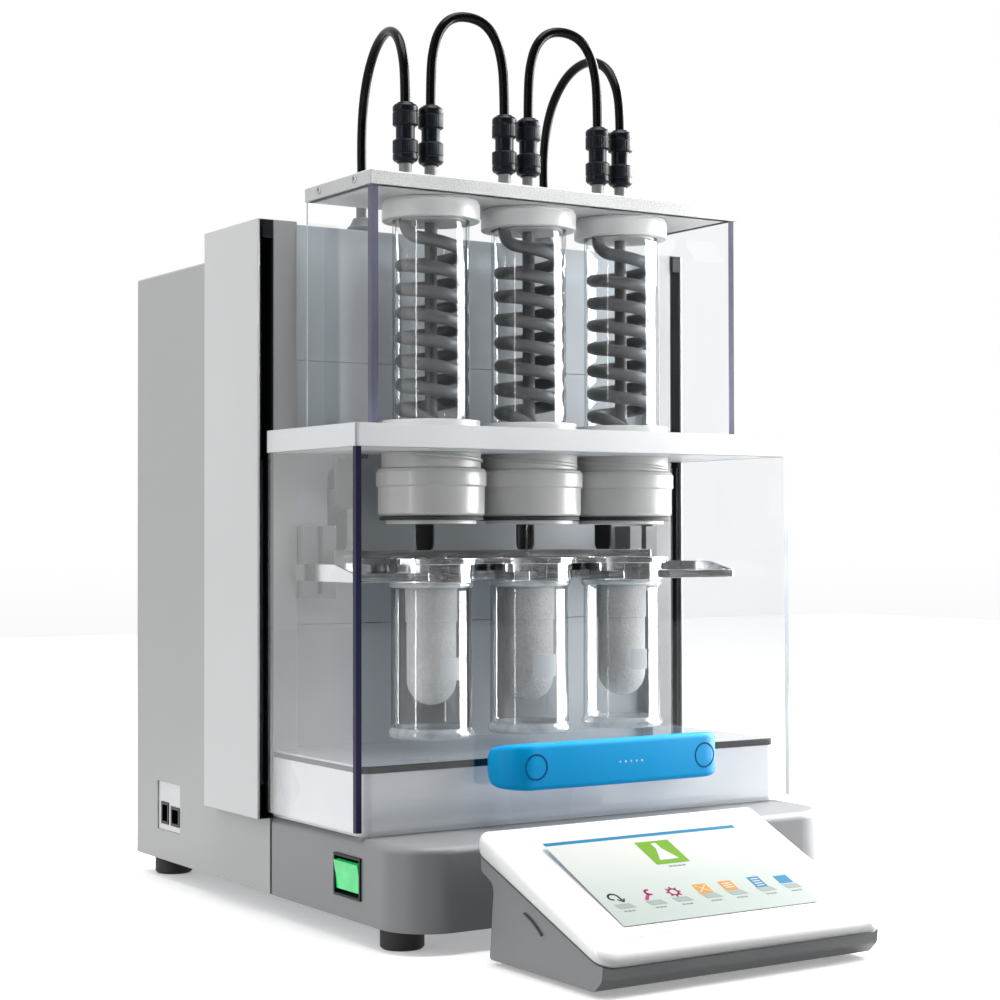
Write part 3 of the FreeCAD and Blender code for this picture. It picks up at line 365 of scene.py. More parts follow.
def thin_glass(name, tint=(0.985, 0.99, 0.992, 1.0), rim=(0.50, 0.55, 0.58, 1.0), thick=()):
    """Clear glass. The pairs in thick are heights between which it is thick and catches light."""
    look = Look(name)
    # Towards its outline the glass is tinted darker: painted shade in place of the refraction it leaves out.
    facing = look.node("ShaderNodeLayerWeight", None, {"Blend": 0.5}, "Facing")
    side = facing.smooth(0.62, 0.95, 0.0, 0.9)
    clear = look.node("ShaderNodeBsdfTransparent", None, {"Color": tint})
    dark = look.node("ShaderNodeBsdfTransparent", None, {"Color": rim})
    body = look.node("ShaderNodeMixShader", None, {0: side, 1: clear, 2: dark})
    mirror = look.node("ShaderNodeBsdfGlossy", None, {"Color": (1, 1, 1, 1), "Roughness": 0.02})
    gleam = look.front_mirror(1.47, look.noise(40.0, 2.0).smooth(0.3, 0.7, 1.0, 1.25))
    shader = look.node("ShaderNodeMixShader", None, {0: gleam, 1: body, 2: mirror})
    if not thick:
        return look.finish(shader)
    # Where the glass is thick a pale opaque shader is mixed in: a painted highlight of the light it catches.
    height = look.axes(look.place)[2]
    share = sum(height.between(low * MM, high * MM) for low, high in thick)
    solid = look.principled((0.78, 0.83, 0.86, 1), 0.08, coat=0.6, coat_roughness=0.03)
    caught = share * look.noise(60.0, 2.0).smooth(0.3, 0.7, 0.30, 0.55)
    return look.finish(look.node("ShaderNodeMixShader", None, {0: caught, 1: shader, 2: solid}))


SHIELD_GLUED, HEAD_GLUED = at(0, -128.1, 0).y, at(0, -98.8, 0).y
CLEAR = {
    # Edge colours are painted light and shade: dark on the shaded front and left sheets, pale on the lit
    # right one.
    "shield_front": clear_sheet("shield_front", 1, (0.010, 0.012, 0.055)),
    "shield_left": clear_sheet("shield_left", 0, (0.010, 0.012, 0.055), SHIELD_GLUED, 1.9),
    "shield_right": clear_sheet("shield_right", 0, (0.70, 0.73, 0.80)),
    "head_front": clear_sheet("head_front", 1, (0.125, 0.13, 0.185)),
    "head_side": clear_sheet("head_side", 0, (0.125, 0.13, 0.185), HEAD_GLUED),
    "lab_glass": thin_glass("lab_glass"),
    "cup_glass": thin_glass("cup_glass", rim=(0.42, 0.46, 0.49, 1.0), thick=((122.0, 130.0), (226.6, 231.0))),
}
print("clear finishes", len(CLEAR))

# %% Display pane
def display_face():
    """A pale pane, warmer at the top and greener at the bottom."""
    look = Look("display_face")
    depth = look.axes(look.place)[1]
    cloud = look.noise(6.0, 1.0)
    fall = (depth * -1.0).smooth(0.185, 0.275) * 0.9 + cloud * 0.1
    tone = fall.colours((0.53, 0.54, 0.52, 1), (0.35, 0.40, 0.37, 1))
    return look.finish(look.principled(tone, 0.4, specular=0.06))


PANE = display_face()
print("display", PANE.name)

# %% [markdown]
# ## Mesh helpers
# A turned piece is a closed outline of radii and heights spun round an axis. A bent piece is a circle
# carried along points. Both are made as plain lists of corners and faces, so several can be joined into one
# piece, and edges sharper than a chosen angle stay crisp while the rest is smooth.

# %% Mesh helpers
def joined(name, meshes):
    """One mesh from lists of (corners, faces)."""
    corners, faces = [], []
    for some_corners, some_faces in meshes:
        first = len(corners)
        corners.extend(some_corners)
        faces.extend([tuple(i + first for i in face) for face in some_faces])
    mesh = bpy.data.meshes.new(name)
    mesh.from_pydata([tuple(c) for c in corners], [], faces)
    return mesh


def piece(name, meshes, material, body, replaces=(), crisp=35.0):
    """Joins lists of (corners, faces) into one object that rides a body."""
    return dress(name, joined(name, meshes), material, body, replaces, crisp)


def dress(name, mesh, material, body, replaces=(), crisp=35.0):
    """Cleans a mesh, points its faces outwards and puts it on its body."""
    tidy = bmesh.new()
    tidy.from_mesh(mesh)
    bmesh.ops.remove_doubles(tidy, verts=tidy.verts, dist=1e-7)
    bmesh.ops.recalc_face_normals(tidy, faces=tidy.faces)
    tidy.to_mesh(mesh)
    tidy.free()
    mesh.shade_smooth()
    mesh.set_sharp_from_angle(angle=math.radians(crisp))
    mesh.materials.clear()
    mesh.materials.append(material)
    made = bpy.data.objects.new(name, mesh)
    scene.collection.objects.link(made)
    if body:
        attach(made, body)
    if replaces:
        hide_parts(*replaces)
    return made


def bands(rows, size, closed_rows, closed_ends):
    """Faces between rows of corners. Each row is a closed loop of the same size."""
    faces = []
    for row in range(rows if closed_rows else rows - 1):
        here, there = row * size, (row + 1) % rows * size
        for i in range(size):
            j = (i + 1) % size
            faces.append((here + i, here + j, there + j, there + i))
    if closed_ends:
        faces.append(tuple(reversed(range(size))))
        faces.append(tuple((rows - 1) * size + i for i in range(size)))
    return faces


def lathe(outline, x=0.0, y=AXIS_Y, steps=96):
    """A closed (radius, height) outline turned about a vertical axis."""
    corners, faces = [], []
    count = len(outline)
    for step in range(steps):
        angle = 2 * math.pi * step / steps
        for radius, height in outline:
            radius = max(radius, 0.0)
            corners.append(at(x + radius * math.cos(angle), y + radius * math.sin(angle), height))
    for step in range(steps):
        here, there = step * count, (step + 1) % steps * count
        for i in range(count):
            j = (i + 1) % count
            if outline[i][0] <= 0 and outline[j][0] <= 0:
                continue
            if outline[i][0] <= 0:
                faces.append((here + i, here + j, there + j))
            elif outline[j][0] <= 0:
                faces.append((here + i, here + j, there + i))
            else:
                faces.append((here + i, here + j, there + j, there + i))
    return corners, faces


def softened(outline, radius, bend=4):
    """Rounds the corners of a closed outline."""
    made = []
    count = len(outline)
    for i, here in enumerate(outline):
        here = Vector(here)
        before, after = Vector(outline[i - 1]), Vector(outline[(i + 1) % count])
        into, out = before - here, after - here
        reach = min(radius, 0.45 * into.length, 0.45 * out.length)
        if here.x <= 0 or reach < 1e-6:
            made.append(tuple(here))
            continue
        start, end = here + into.normalized() * reach, here + out.normalized() * reach
        for step in range(bend + 1):
            t = step / bend
            spot = start * (1 - t) ** 2 + here * 2 * t * (1 - t) + end * t * t
            made.append((spot.x, spot.y))
    return made


def swept(points, radius, sides=16):
    """A round tube along points in metres, with a frame that doesn't twist."""
    corners = []
    count = len(points)
    across = None
    for i, point in enumerate(points):
        ahead = points[min(i + 1, count - 1)] - points[max(i - 1, 0)]
        ahead.normalize()
        if across is None:
            across = ahead.orthogonal().normalized()
        across = (across - ahead * across.dot(ahead)).normalized()
        other = ahead.cross(across)
        for side in range(sides):
            angle = 2 * math.pi * side / sides
            offset = across * math.cos(angle) + other * math.sin(angle)
            corners.append(point + offset * radius)
    return corners, bands(count, sides, False, True)


def block(x0, x1, y0, y1, z0, z1, soft=0.0, bend=2):
    """A box between millimetre limits, with rounded edges where soft is given."""
    tidy = bmesh.new()
    bmesh.ops.create_cube(tidy, size=1.0)
    size = Vector((x1 - x0, y1 - y0, z1 - z0)) * MM
    middle = at((x0 + x1) / 2, (y0 + y1) / 2, (z0 + z1) / 2)
    for vert in tidy.verts:
        vert.co = Vector(a * b for a, b in zip(vert.co, size)) + middle
    if soft:
        bmesh.ops.bevel(tidy, geom=list(tidy.edges), offset=soft * MM, segments=bend, profile=0.5,
                        affect="EDGES", clamp_overlap=True)
    corners = [vert.co.copy() for vert in tidy.verts]
    faces = [tuple(vert.index for vert in face.verts) for face in tidy.faces]
    tidy.free()
    return corners, faces


print("mesh helpers ready")

# %% [markdown]
# ## Repeats with Geometry Nodes
# Ribs, screws, crosses, teeth and dots repeat by a rule, so a small node tree copies one shape round a
# circle or along a line. The tree has named inputs for its sizes. Its result is turned into a plain mesh
# at once, because the finished piece must not depend on a live modifier.

# %% Geometry Nodes helpers
def node_tree(name, inputs):
    tree = bpy.data.node_groups.new(name, "GeometryNodeTree")
    tree.interface.new_socket(name="Geometry", in_out="OUTPUT", socket_type="NodeSocketGeometry")
    for label, kind in inputs:
        tree.interface.new_socket(name=label, in_out="INPUT", socket_type=kind)
    tree.nodes.new("NodeGroupInput")
    tree.nodes.new("NodeGroupOutput")
    return tree


def grown(tree, values):
    """Runs a tree on an empty mesh and returns the result as a plain mesh."""
    holder = bpy.data.objects.new("holder", bpy.data.meshes.new("holder"))
    scene.collection.objects.link(holder)
    modifier = holder.modifiers.new("grow", "NODES")
    modifier.node_group = tree
    for item in tree.interface.items_tree:
        if item.in_out == "INPUT" and item.name in values:
            modifier[item.identifier] = values[item.name]
    holder.update_tag()
    graph = bpy.context.evaluated_depsgraph_get()
    mesh = bpy.data.meshes.new_from_object(holder.evaluated_get(graph))
    holder.modifiers.remove(modifier)
    bpy.data.objects.remove(holder)
    return mesh


def ring_tree():
    """Copies of one shape round a vertical axis, each turned to face outwards."""
    tree = node_tree("copies_round_axis", [("Shape", "NodeSocketObject"), ("Count", "NodeSocketInt"),
                                           ("Radius", "NodeSocketFloat"), ("Centre", "NodeSocketVector"),
                                           ("Finish", "NodeSocketMaterial")])
    start, end = tree.nodes["Group Input"], tree.nodes["Group Output"]
    circle = tree.nodes.new("GeometryNodeMeshCircle")
    shape = tree.nodes.new("GeometryNodeObjectInfo")
    place = tree.nodes.new("GeometryNodeInputPosition")
    face_out = tree.nodes.new("FunctionNodeAlignRotationToVector")
    face_out.axis = "X"
    face_out.pivot_axis = "Z"
    copy = tree.nodes.new("GeometryNodeInstanceOnPoints")
    move = tree.nodes.new("GeometryNodeTransform")
    real = tree.nodes.new("GeometryNodeRealizeInstances")
    paint = tree.nodes.new("GeometryNodeSetMaterial")
    for a, b in (((start, "Count"), (circle, "Vertices")), ((start, "Radius"), (circle, "Radius")),
                 ((start, "Shape"), (shape, "Object")), ((place, 0), (face_out, "Vector")),
                 ((circle, "Mesh"), (copy, "Points")), ((shape, "Geometry"), (copy, "Instance")),
                 ((face_out, 0), (copy, "Rotation")), ((copy, 0), (move, "Geometry")),
                 ((start, "Centre"), (move, "Translation")), ((move, 0), (real, "Geometry")),
                 ((real, 0), (paint, "Geometry")), ((start, "Finish"), (paint, "Material")),
                 ((paint, 0), (end, "Geometry"))):
        tree.links.new(a[0].outputs[a[1]], b[0].inputs[b[1]])
    return tree


def row_tree():
    """Copies of one shape along a line."""
    tree = node_tree("copies_in_row", [("Shape", "NodeSocketObject"), ("Count", "NodeSocketInt"),
                                       ("Start", "NodeSocketVector"), ("Step", "NodeSocketVector"),
                                       ("Finish", "NodeSocketMaterial")])
    start, end = tree.nodes["Group Input"], tree.nodes["Group Output"]
    line = tree.nodes.new("GeometryNodeMeshLine")
    line.mode = "OFFSET"
    shape = tree.nodes.new("GeometryNodeObjectInfo")
    copy = tree.nodes.new("GeometryNodeInstanceOnPoints")
    real = tree.nodes.new("GeometryNodeRealizeInstances")
    paint = tree.nodes.new("GeometryNodeSetMaterial")
    for a, b in (((start, "Count"), (line, "Count")), ((start, "Start"), (line, "Start Location")),
                 ((start, "Step"), (line, "Offset")), ((start, "Shape"), (shape, "Object")),
                 ((line, "Mesh"), (copy, "Points")), ((shape, "Geometry"), (copy, "Instance")),
                 ((copy, 0), (real, "Geometry")), ((real, 0), (paint, "Geometry")),
                 ((start, "Finish"), (paint, "Material")), ((paint, 0), (end, "Geometry"))):
        tree.links.new(a[0].outputs[a[1]], b[0].inputs[b[1]])
    return tree


RING = ring_tree()
ROW = row_tree()


def pattern(meshes):
    """A loose object that a tree copies. Its corners are around its own origin, in metres."""
    return bpy.data.objects.new("pattern", joined("pattern", meshes))


def own_origin(mesh):
    """Moves a mesh made with at() back to the unit's zero, so that it can be copied."""
    zero = at(0, 0, 0)
    return [corner - zero for corner in mesh[0]], mesh[1]


def copies_round(shape, count, radius, centre, material):
    values = {"Shape": shape, "Count": count, "Radius": radius * MM, "Centre": centre, "Finish": material}
    return grown(RING, values)


def copies_in_row(shape, count, start, step, material):
    values = {"Shape": shape, "Count": count, "Start": start, "Step": Vector(step) * MM, "Finish": material}
    return grown(ROW, values)


def as_lists(mesh):
    return [vert.co.copy() for vert in mesh.vertices], [tuple(face.vertices) for face in mesh.polygons]


print("trees", RING.name, ROW.name)

# %% [markdown]
# ## Hoses
# Four black hoses carry cooling water. Two stand in arches between neighbouring condensers, and two run
# back to the fittings on the tower. Each is a smooth NURBS line through the route that the CAD tube
# follows. The two that reach the tower bend when the head goes down; here they are plain mesh tubes that
# ride no body.

# %% Routes of the hoses
HOSE_RADIUS = 3.5
STEM_X = 20.6
CONNECTOR_LOW = 521.0
CONNECTOR_TOP = 563.5
FITTING_X, FITTING_Y = 81.5, 40.0
BRIDGE_RISE, SUPPLY_RISE, SUPPLY_SWAY = 66.5, 61.0, 1.2
BRIDGE_HALF = [(1.0, -0.09), (1.0, 0.24), (0.955, 0.571), (0.76, 0.842), (0.34, 1.0)]
SUPPLY_WAY = [(0.0, -0.098), (0.0, 0.23), (0.04, 0.541), (0.17, 0.836), (0.40, 1.0), (0.66, 0.934),
              (0.86, 0.672), (0.97, 0.311), (1.01, -0.115), (1.0, -0.59), (1.0, -1.066)]


def bridge_route(x0, x1):
    middle, half = (x0 + x1) / 2, (x1 - x0) / 2
    left = [at(middle - half * s, AXIS_Y, CONNECTOR_TOP + BRIDGE_RISE * h) for s, h in BRIDGE_HALF]
    back = [at(middle + half * s, AXIS_Y, CONNECTOR_TOP + BRIDGE_RISE * h) for s, h in reversed(BRIDGE_HALF)]
    return left + back


def supply_route(x0, x1):
    route = []
    for share, height in SUPPLY_WAY:
        sway = SUPPLY_SWAY * math.sin(math.pi * share)
        route.append(at(x0 + (x1 - x0) * share + sway, AXIS_Y + (FITTING_Y - AXIS_Y) * share,
                        CONNECTOR_TOP + SUPPLY_RISE * height))
    return route


def nurbs_line(name, route):
    curve = bpy.data.curves.new(name, "CURVE")
    curve.dimensions = "3D"
    spline = curve.splines.new("NURBS")
    spline.points.add(len(route) - 1)
    for point, spot in zip(spline.points, route):
        point.co = (*spot, 1.0)
    spline.order_u = 3
    spline.use_endpoint_u = True
    spline.resolution_u = 12
    line = bpy.data.objects.new(name, curve)
    scene.collection.objects.link(line)
    return line


def read_line(line):
    """The points of a curve that has no thickness."""
    graph = bpy.context.evaluated_depsgraph_get()
    mesh = bpy.data.meshes.new_from_object(line.evaluated_get(graph))
    points = [vert.co.copy() for vert in mesh.vertices]
    bpy.data.meshes.remove(mesh)
    return points


def hose(name, route, blended):
    line = nurbs_line(name, route)
    points = read_line(line)
    if blended:
        bpy.data.objects.remove(line)
        made = piece(name, [swept(points, HOSE_RADIUS * MM, 24)], PLASTICS["hose_black"], None,
                     (name,))
        at(0, AXIS_Y, 560)
        at(0, FITTING_Y, 560)
        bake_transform(made)
    else:
        line.data.bevel_depth = HOSE_RADIUS * MM
        line.data.bevel_resolution = 8
        line.data.use_fill_caps = True
        line.data.materials.append(PLASTICS["hose_black"])
        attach(line, "head")
        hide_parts(name)


hose("hose_bridge_1", bridge_route(-PITCH, -STEM_X), False)
hose("hose_bridge_2", bridge_route(0.0, PITCH - STEM_X), False)
hose("hose_inlet", supply_route(-PITCH - STEM_X, -FITTING_X), True)
hose("hose_outlet", supply_route(PITCH, FITTING_X), True)

# %% [markdown]
# ## Cooling coils
# Each coil is a grey tube wound left-handed: its front strands fall to the right. The cooling water comes
# in through a stem on the left, runs down the seven turns, and goes back up a straight tube on the axis. A
# helix written as a function of its angle gives even turns, and short bends join it to the straight parts.

# %% Cooling coils
COIL_RADIUS, COIL_TUBE = 20.6, 4.5
COIL_PITCH, COIL_TURNS, COIL_LOW = 16.85, 7.0, 349.3
COIL_TOP_BEND, COIL_LOW_BEND = 7.5, 230.0
STEM_TOP, STEM_FOOT = 533.0, 480.5


def coil_spot(x, turned_by):
    """The place on the helix after some turns down from its top left end. Both ends fall faster."""
    angle = math.pi + 2 * math.pi * turned_by
    early, late = max(0.0, 0.75 - turned_by), max(0.0, turned_by - COIL_TURNS)
    height = COIL_LOW + COIL_PITCH * (COIL_TURNS - turned_by)
    height += COIL_TOP_BEND * early ** 2 - COIL_LOW_BEND * late ** 2
    return at(x + COIL_RADIUS * math.cos(angle), AXIS_Y + COIL_RADIUS * math.sin(angle), height)


def bend_between(start, start_way, end, end_way, reach, steps=10):
    """A smooth bend from one place and heading to another."""
    a, b = start + start_way * reach, end - end_way * reach
    made = []
    for step in range(1, steps):
        t = step / steps
        made.append(start * (1 - t) ** 3 + a * 3 * t * (1 - t) ** 2 + b * 3 * t * t * (1 - t) + end * t ** 3)
    return made


def coil_route(x):
    stem_foot = at(x - COIL_RADIUS, AXIS_Y, STEM_FOOT)
    join, past, steps = 0.10, 0.17, 340
    turns = [coil_spot(x, join + (COIL_TURNS + past - join) * i / steps) for i in range(steps + 1)]
    first_way = (turns[1] - turns[0]).normalized()
    last_way = (turns[-1] - turns[-2]).normalized()
    route = [at(x - COIL_RADIUS, AXIS_Y, STEM_TOP), stem_foot]
    route += bend_between(stem_foot, Vector((0, 0, -1)), turns[0], first_way, 0.0060)
    route += turns
    rise = at(x, AXIS_Y, COIL_LOW + 1.0)
    route += bend_between(turns[-1], last_way, rise, Vector((0, 0, 1)), 0.0115, 14)
    route += [rise, at(x, AXIS_Y, STEM_TOP)]
    return route


coils = piece("cooling_coil_tubes", [swept(coil_route(x), COIL_TUBE * MM, 16) for x in CENTRES],
              PLASTICS["coil_grey"], "head", ("cooling_coils",))
print("coil triangles", sum(len(face.vertices) - 2 for face in coils.data.polygons))

# %% [markdown]
# ## Hose connectors
# A push-in connector joins each coil's stem to a hose: a black barrel with a wide collar at each end and a
# release ring that looks out of it. A groove and fine grip ribs run round the collars. The barrel is
# turned, and the ribs are copies round its axis.

# %% Hose connectors
CONNECTOR_LENGTH, CONNECTOR_RADIUS = CONNECTOR_TOP - CONNECTOR_LOW, 8.8


def connector_outline(low):
    high = low + CONNECTOR_LENGTH
    r, neck, collar, groove = CONNECTOR_RADIUS, 6.6, 16.5, CONNECTOR_RADIUS - 0.35
    outside = [(4.2, low), (5.6, low), (6.2, low + 1.2), (7.6, low + 1.4), (r, low + 3.0), (r, low + 6.2),
               (groove, low + 6.4), (groove, low + 7.0), (r, low + 7.2), (r, low + collar - 1.2),
               (r - 1.0, low + collar), (neck, low + collar), (neck, high - collar), (r - 1.0, high - collar),
               (r, high - collar + 1.2), (r, high - 7.2), (groove, high - 7.0), (groove, high - 6.4),
               (r, high - 6.2), (r, high - 3.0), (7.6, high - 1.4), (6.2, high - 1.2), (5.6, high)]
    inside = [(3.6, high), (3.6, high - 14), (1.5, high - 14), (1.5, low + 14), (4.2, low + 14)]
    return softened(outside + inside, 0.3, 2)


stems = [x + dx for x in CENTRES for dx in (-STEM_X, 0.0)]
rib = pattern([own_origin(block(-0.3, 0.05, -0.16, 0.16, -4.2, 4.2, 0.05, 1))])
parts = []
for stem in stems:
    parts.append(lathe(connector_outline(CONNECTOR_LOW), stem, AXIS_Y, 56))
    for height in (CONNECTOR_LOW + 11.6, CONNECTOR_TOP - 11.6):
        middle = at(stem, AXIS_Y, height)
        parts.append(as_lists(copies_round(rib, 40, CONNECTOR_RADIUS, middle, PLASTICS["connector_black"])))
piece("push_in_connectors", parts, PLASTICS["connector_black"], "head",
      ("hose_connectors",))
print("connectors", len(stems))

# %% [markdown]
# ## Glass tubes, caps and seats
# The condensers' outer tubes are thin glass between a white cap above and a white seat below. The cap has a
# plug that fills the glass, and the coil's stems go through it. All are turned pieces with small rounded
# edges.

# %% Condenser glass and its holders
CAP_LOW, CAP_TOP, PLUG_LOW = 482.0, 496.2, 481.2
SEAT_LOW, SEAT_TOP = 335.8, 342.8


def cap_outline():
    return softened([(27.2, CAP_LOW), (34.3, CAP_LOW), (34.3, CAP_TOP - 2.2), (33.2, CAP_TOP - 2.2),
                     (33.2, CAP_TOP), (0, CAP_TOP), (0, PLUG_LOW), (24.9, PLUG_LOW), (24.9, CAP_TOP - 4),
                     (27.2, CAP_TOP - 4)], 0.6, 3)


def seat_outline():
    return softened([(24.6, SEAT_LOW), (34.3, SEAT_LOW), (34.3, SEAT_TOP), (27.2, SEAT_TOP),
                     (27.2, SEAT_LOW + 1.5), (24.6, SEAT_LOW + 1.5)], 0.7, 3)


def tube_outline():
    low, high = SEAT_LOW + 1.6, CAP_TOP - 4.1
    return softened([(25.2, low), (27.0, low), (27.0, high), (25.2, high)], 0.5, 3)


for name, outline, material, slot, node in (
        ("condenser_end_caps", cap_outline(), PLASTICS["cap_white"], "white_plastic", "condenser_caps"),
        ("condenser_seat_rings", seat_outline(), PLASTICS["cap_white"], "white_plastic", "tube_seats"),
        ("condenser_glass", tube_outline(), CLEAR["lab_glass"], "lab_glass", "condenser_tubes")):
    piece(name, [lathe(outline, x) for x in CENTRES], material, "head", (node,))
print("condensers", len(CENTRES))

# %% [markdown]
# ## Hose fittings on the tower
# Each outer hose ends in a short grey stem on a bell with a wide foot, which stands on a low boss on the
# tower.

# %% Hose fittings
TOWER_TOP, FITTING_TOP = 484.1, 506.1


def fitting_outline():
    low, foot = TOWER_TOP + 0.1, TOWER_TOP + 4.6
    return softened([(0, low), (9.2, low), (9.2, foot), (11.0, foot), (11.0, foot + 2.0), (9.4, foot + 3.0),
                     (7.8, foot + 6.0), (6.6, foot + 8.8), (4.3, foot + 9.4), (4.3, FITTING_TOP),
                     (3.6, FITTING_TOP), (3.6, FITTING_TOP - 8), (0, FITTING_TOP - 8)], 0.4, 3)


bells = [lathe(fitting_outline(), side * FITTING_X, FITTING_Y, 64) for side in (-1, 1)]
piece("hose_fitting_bells", bells, PLASTICS["fitting_grey"], "cabinet", ("hose_fittings",))
print("fittings", len(bells))

# %% [markdown]
# ## Collars and locking rings
# Under the head's floor each condenser ends in a fixed neck with one coarse thread ridge, on which a
# locking ring turns. The ridge is a short ramp of a rounded strip that falls to the right. The ring is a
# plain drum with a wider band at its top.

# %% Collars and locking rings
NECK_LOW, NECK_TOP = 276.0, 320.5
RING_LOW, RING_TOP = 276.3, 309.3


def neck_outline():
    return softened([(24.6, NECK_LOW), (31.5, NECK_LOW), (31.5, RING_TOP + 0.3), (34.7, RING_TOP + 0.3),
                     (34.7, NECK_TOP - 0.2), (33.9, NECK_TOP), (24.6, NECK_TOP)], 0.3, 2)


def thread_ridge(x, radius, low, high, first_angle, share, width=1.6, proud=1.3):
    """A rounded ridge that climbs from low to high over a share of a turn, with ends that die away."""
    steps = 90
    corners = []
    section = [(0.0, -1.0), (0.55, -0.75), (1.0, -0.3), (1.0, 0.3), (0.55, 0.75), (0.0, 1.0)]
    for step in range(steps + 1):
        t = step / steps
        angle = first_angle + 2 * math.pi * share * t
        middle = low + (high - low) * t
        fade = min(1.0, 8 * t, 8 * (1 - t))
        for out, along in section:
            spot = radius - 0.4 + (proud + 0.4) * out * fade
            corners.append(at(x + spot * math.cos(angle), AXIS_Y + spot * math.sin(angle),
                              middle + along * width * max(fade, 0.2)))
    return corners, bands(steps + 1, len(section), False, True)


def ring_outline():
    band = RING_TOP - 12.0
    return softened([(31.8, RING_LOW), (35.4, RING_LOW), (37.3, RING_LOW + 1.8), (37.3, band - 0.6),
                     (38.6, band), (38.6, RING_TOP - 2.2), (37.6, RING_TOP - 1.6), (37.6, RING_TOP - 0.9),
                     (36.8, RING_TOP), (31.8, RING_TOP)], 0.8, 3)


RIDGES = ((-150, 319.0, 312.0, 0.55), (-225, 318.9, 311.6, 0.55), (-225, 318.0, 311.1, 0.52))
necks = []
for x, (start, high, low, share) in zip(CENTRES, RIDGES):
    necks.append(lathe(neck_outline(), x))
    necks.append(thread_ridge(x, 34.7, high, low, math.radians(start), share))
piece("threaded_necks", necks, PLASTICS["neck_grey"], "head", ("collar_necks",))
for number, x in enumerate(CENTRES, 1):
    piece(f"locking_ring_drum_{number}", [lathe(ring_outline(), x, AXIS_Y, 128)], PLASTICS["collar_grey"],
          f"ring_{number}", (f"locking_ring_{number}",))
print("rings", len(CENTRES))

# %% [markdown]
# ## Corner seam and panel edges
# The shield's frame is folded from sheet, and its front corner at the left shows the fold's open seam as a
# thin grey line. The rear edges of the head's side panels are polished; thin white strips on them are a
# painted highlight of the light they catch.

# %% Corner seam and panel edges
FRAME_SIDE, FRAME_FRONT, FRAME_LOW, FRAME_TOP = 181.6, -132.2, 320.7, 335.6
seam = block(-FRAME_SIDE - 0.05, -FRAME_SIDE + 1.0, FRAME_FRONT - 0.05, FRAME_FRONT + 0.9,
             FRAME_LOW, FRAME_TOP, 0.3)
piece("frame_corner_seam", [seam], PLASTICS["mark_grey"], "shield")
panel_low, panel_high = [corner / MM for corner in map(Vector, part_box("head_side_panels"))]
panel_rear = panel_high.y - DEPTH_SHIFT
# White strips on the panels' rear edges: a painted highlight of their polished faces.
rear_edge_highlights = [block(side * panel_high.x - 0.3, side * panel_high.x + 0.3, panel_rear - 0.9, panel_rear + 0.05,
                    panel_low.z + 0.5, panel_high.z - 0.5, 0.1, 1) for side in (-1, 1)]
piece("head_panel_rear_edges", rear_edge_highlights, PLASTICS["seal_white"], "head")
print("seam and edges", 1 + len(rear_edge_highlights))

# %% [markdown]
# ## Cups and thimbles
# The cups are thick-walled glass with a heavy foot, and hang in the rack by a bead under its rings. A small
# frosted patch with round corners lies on the front of each. The thimbles are pressed paper with a round
# bottom and a slightly rough skin. They hang in a thin sleeve at the cup's mouth.

# %% Cups
CUP_LOW, CUP_TOP, BEAD = 122.7, 247.0, 230.6


def cup_outline():
    wall, foot, rim = 28.0, 30.0, 30.1
    outside = [(0, CUP_LOW + 0.8), (20.0, CUP_LOW + 0.8), (24.0, CUP_LOW), (28.6, CUP_LOW),
               (foot, CUP_LOW + 1.6), (foot, CUP_LOW + 4.2), (28.4, CUP_LOW + 7.0), (wall, BEAD - 5.0),
               (rim, BEAD - 3.4), (rim, BEAD - 0.2), (wall, BEAD), (wall, CUP_TOP)]
    inside = [(26.0, CUP_TOP), (26.0, CUP_LOW + 8.0), (22.5, CUP_LOW + 4.6), (0, CUP_LOW + 4.0)]
    return softened(outside + inside, 1.2, 3)


piece("extraction_cups", [lathe(cup_outline(), x) for x in CENTRES], CLEAR["cup_glass"], "rack",
      ("cups",))
print("cups", len(CENTRES))

# %% Paper of the thimbles
def pressed_paper():
    look = Look("pressed_paper")
    pulp = look.noise(420.0, 5.0, 0.65)
    cloud = look.noise(45.0, 3.0)
    mixed = (pulp * 0.5 + cloud * 0.5).smooth(0.35, 0.65)
    tone = mixed.colours((0.73, 0.72, 0.705, 1), (0.89, 0.88, 0.86, 1))
    skin = look.bump(pulp, 0.0011, 0.9)
    return look.finish(look.principled(tone, 0.85, skin, sheen=0.25))


THIMBLE_RADIUS, THIMBLE_LOW, THIMBLE_TOP = 17.3, 145.0, 246.5


def thimble_outline():
    nose = THIMBLE_LOW + THIMBLE_RADIUS
    wall = 1.6
    outside = [(THIMBLE_RADIUS * math.sin(a), nose - THIMBLE_RADIUS * math.cos(a))
               for a in [math.radians(6 * i) for i in range(16)]]
    outside += [(THIMBLE_RADIUS, THIMBLE_TOP - 44), (THIMBLE_RADIUS + 0.9, THIMBLE_TOP - 43.6),
                (THIMBLE_RADIUS + 0.9, THIMBLE_TOP - 14), (25.7, THIMBLE_TOP - 8), (25.7, THIMBLE_TOP)]
    inner = THIMBLE_RADIUS - wall
    inside = [(inner, THIMBLE_TOP)]
    inside += [(inner * math.sin(a), nose - inner * math.cos(a))
               for a in [math.radians(6 * i) for i in reversed(range(16))]]
    return outside + inside


PAPER = pressed_paper()
piece("paper_thimbles", [lathe(thimble_outline(), x) for x in CENTRES], PAPER, "rack",
      ("thimbles",), 50)
print("thimbles", len(CENTRES))

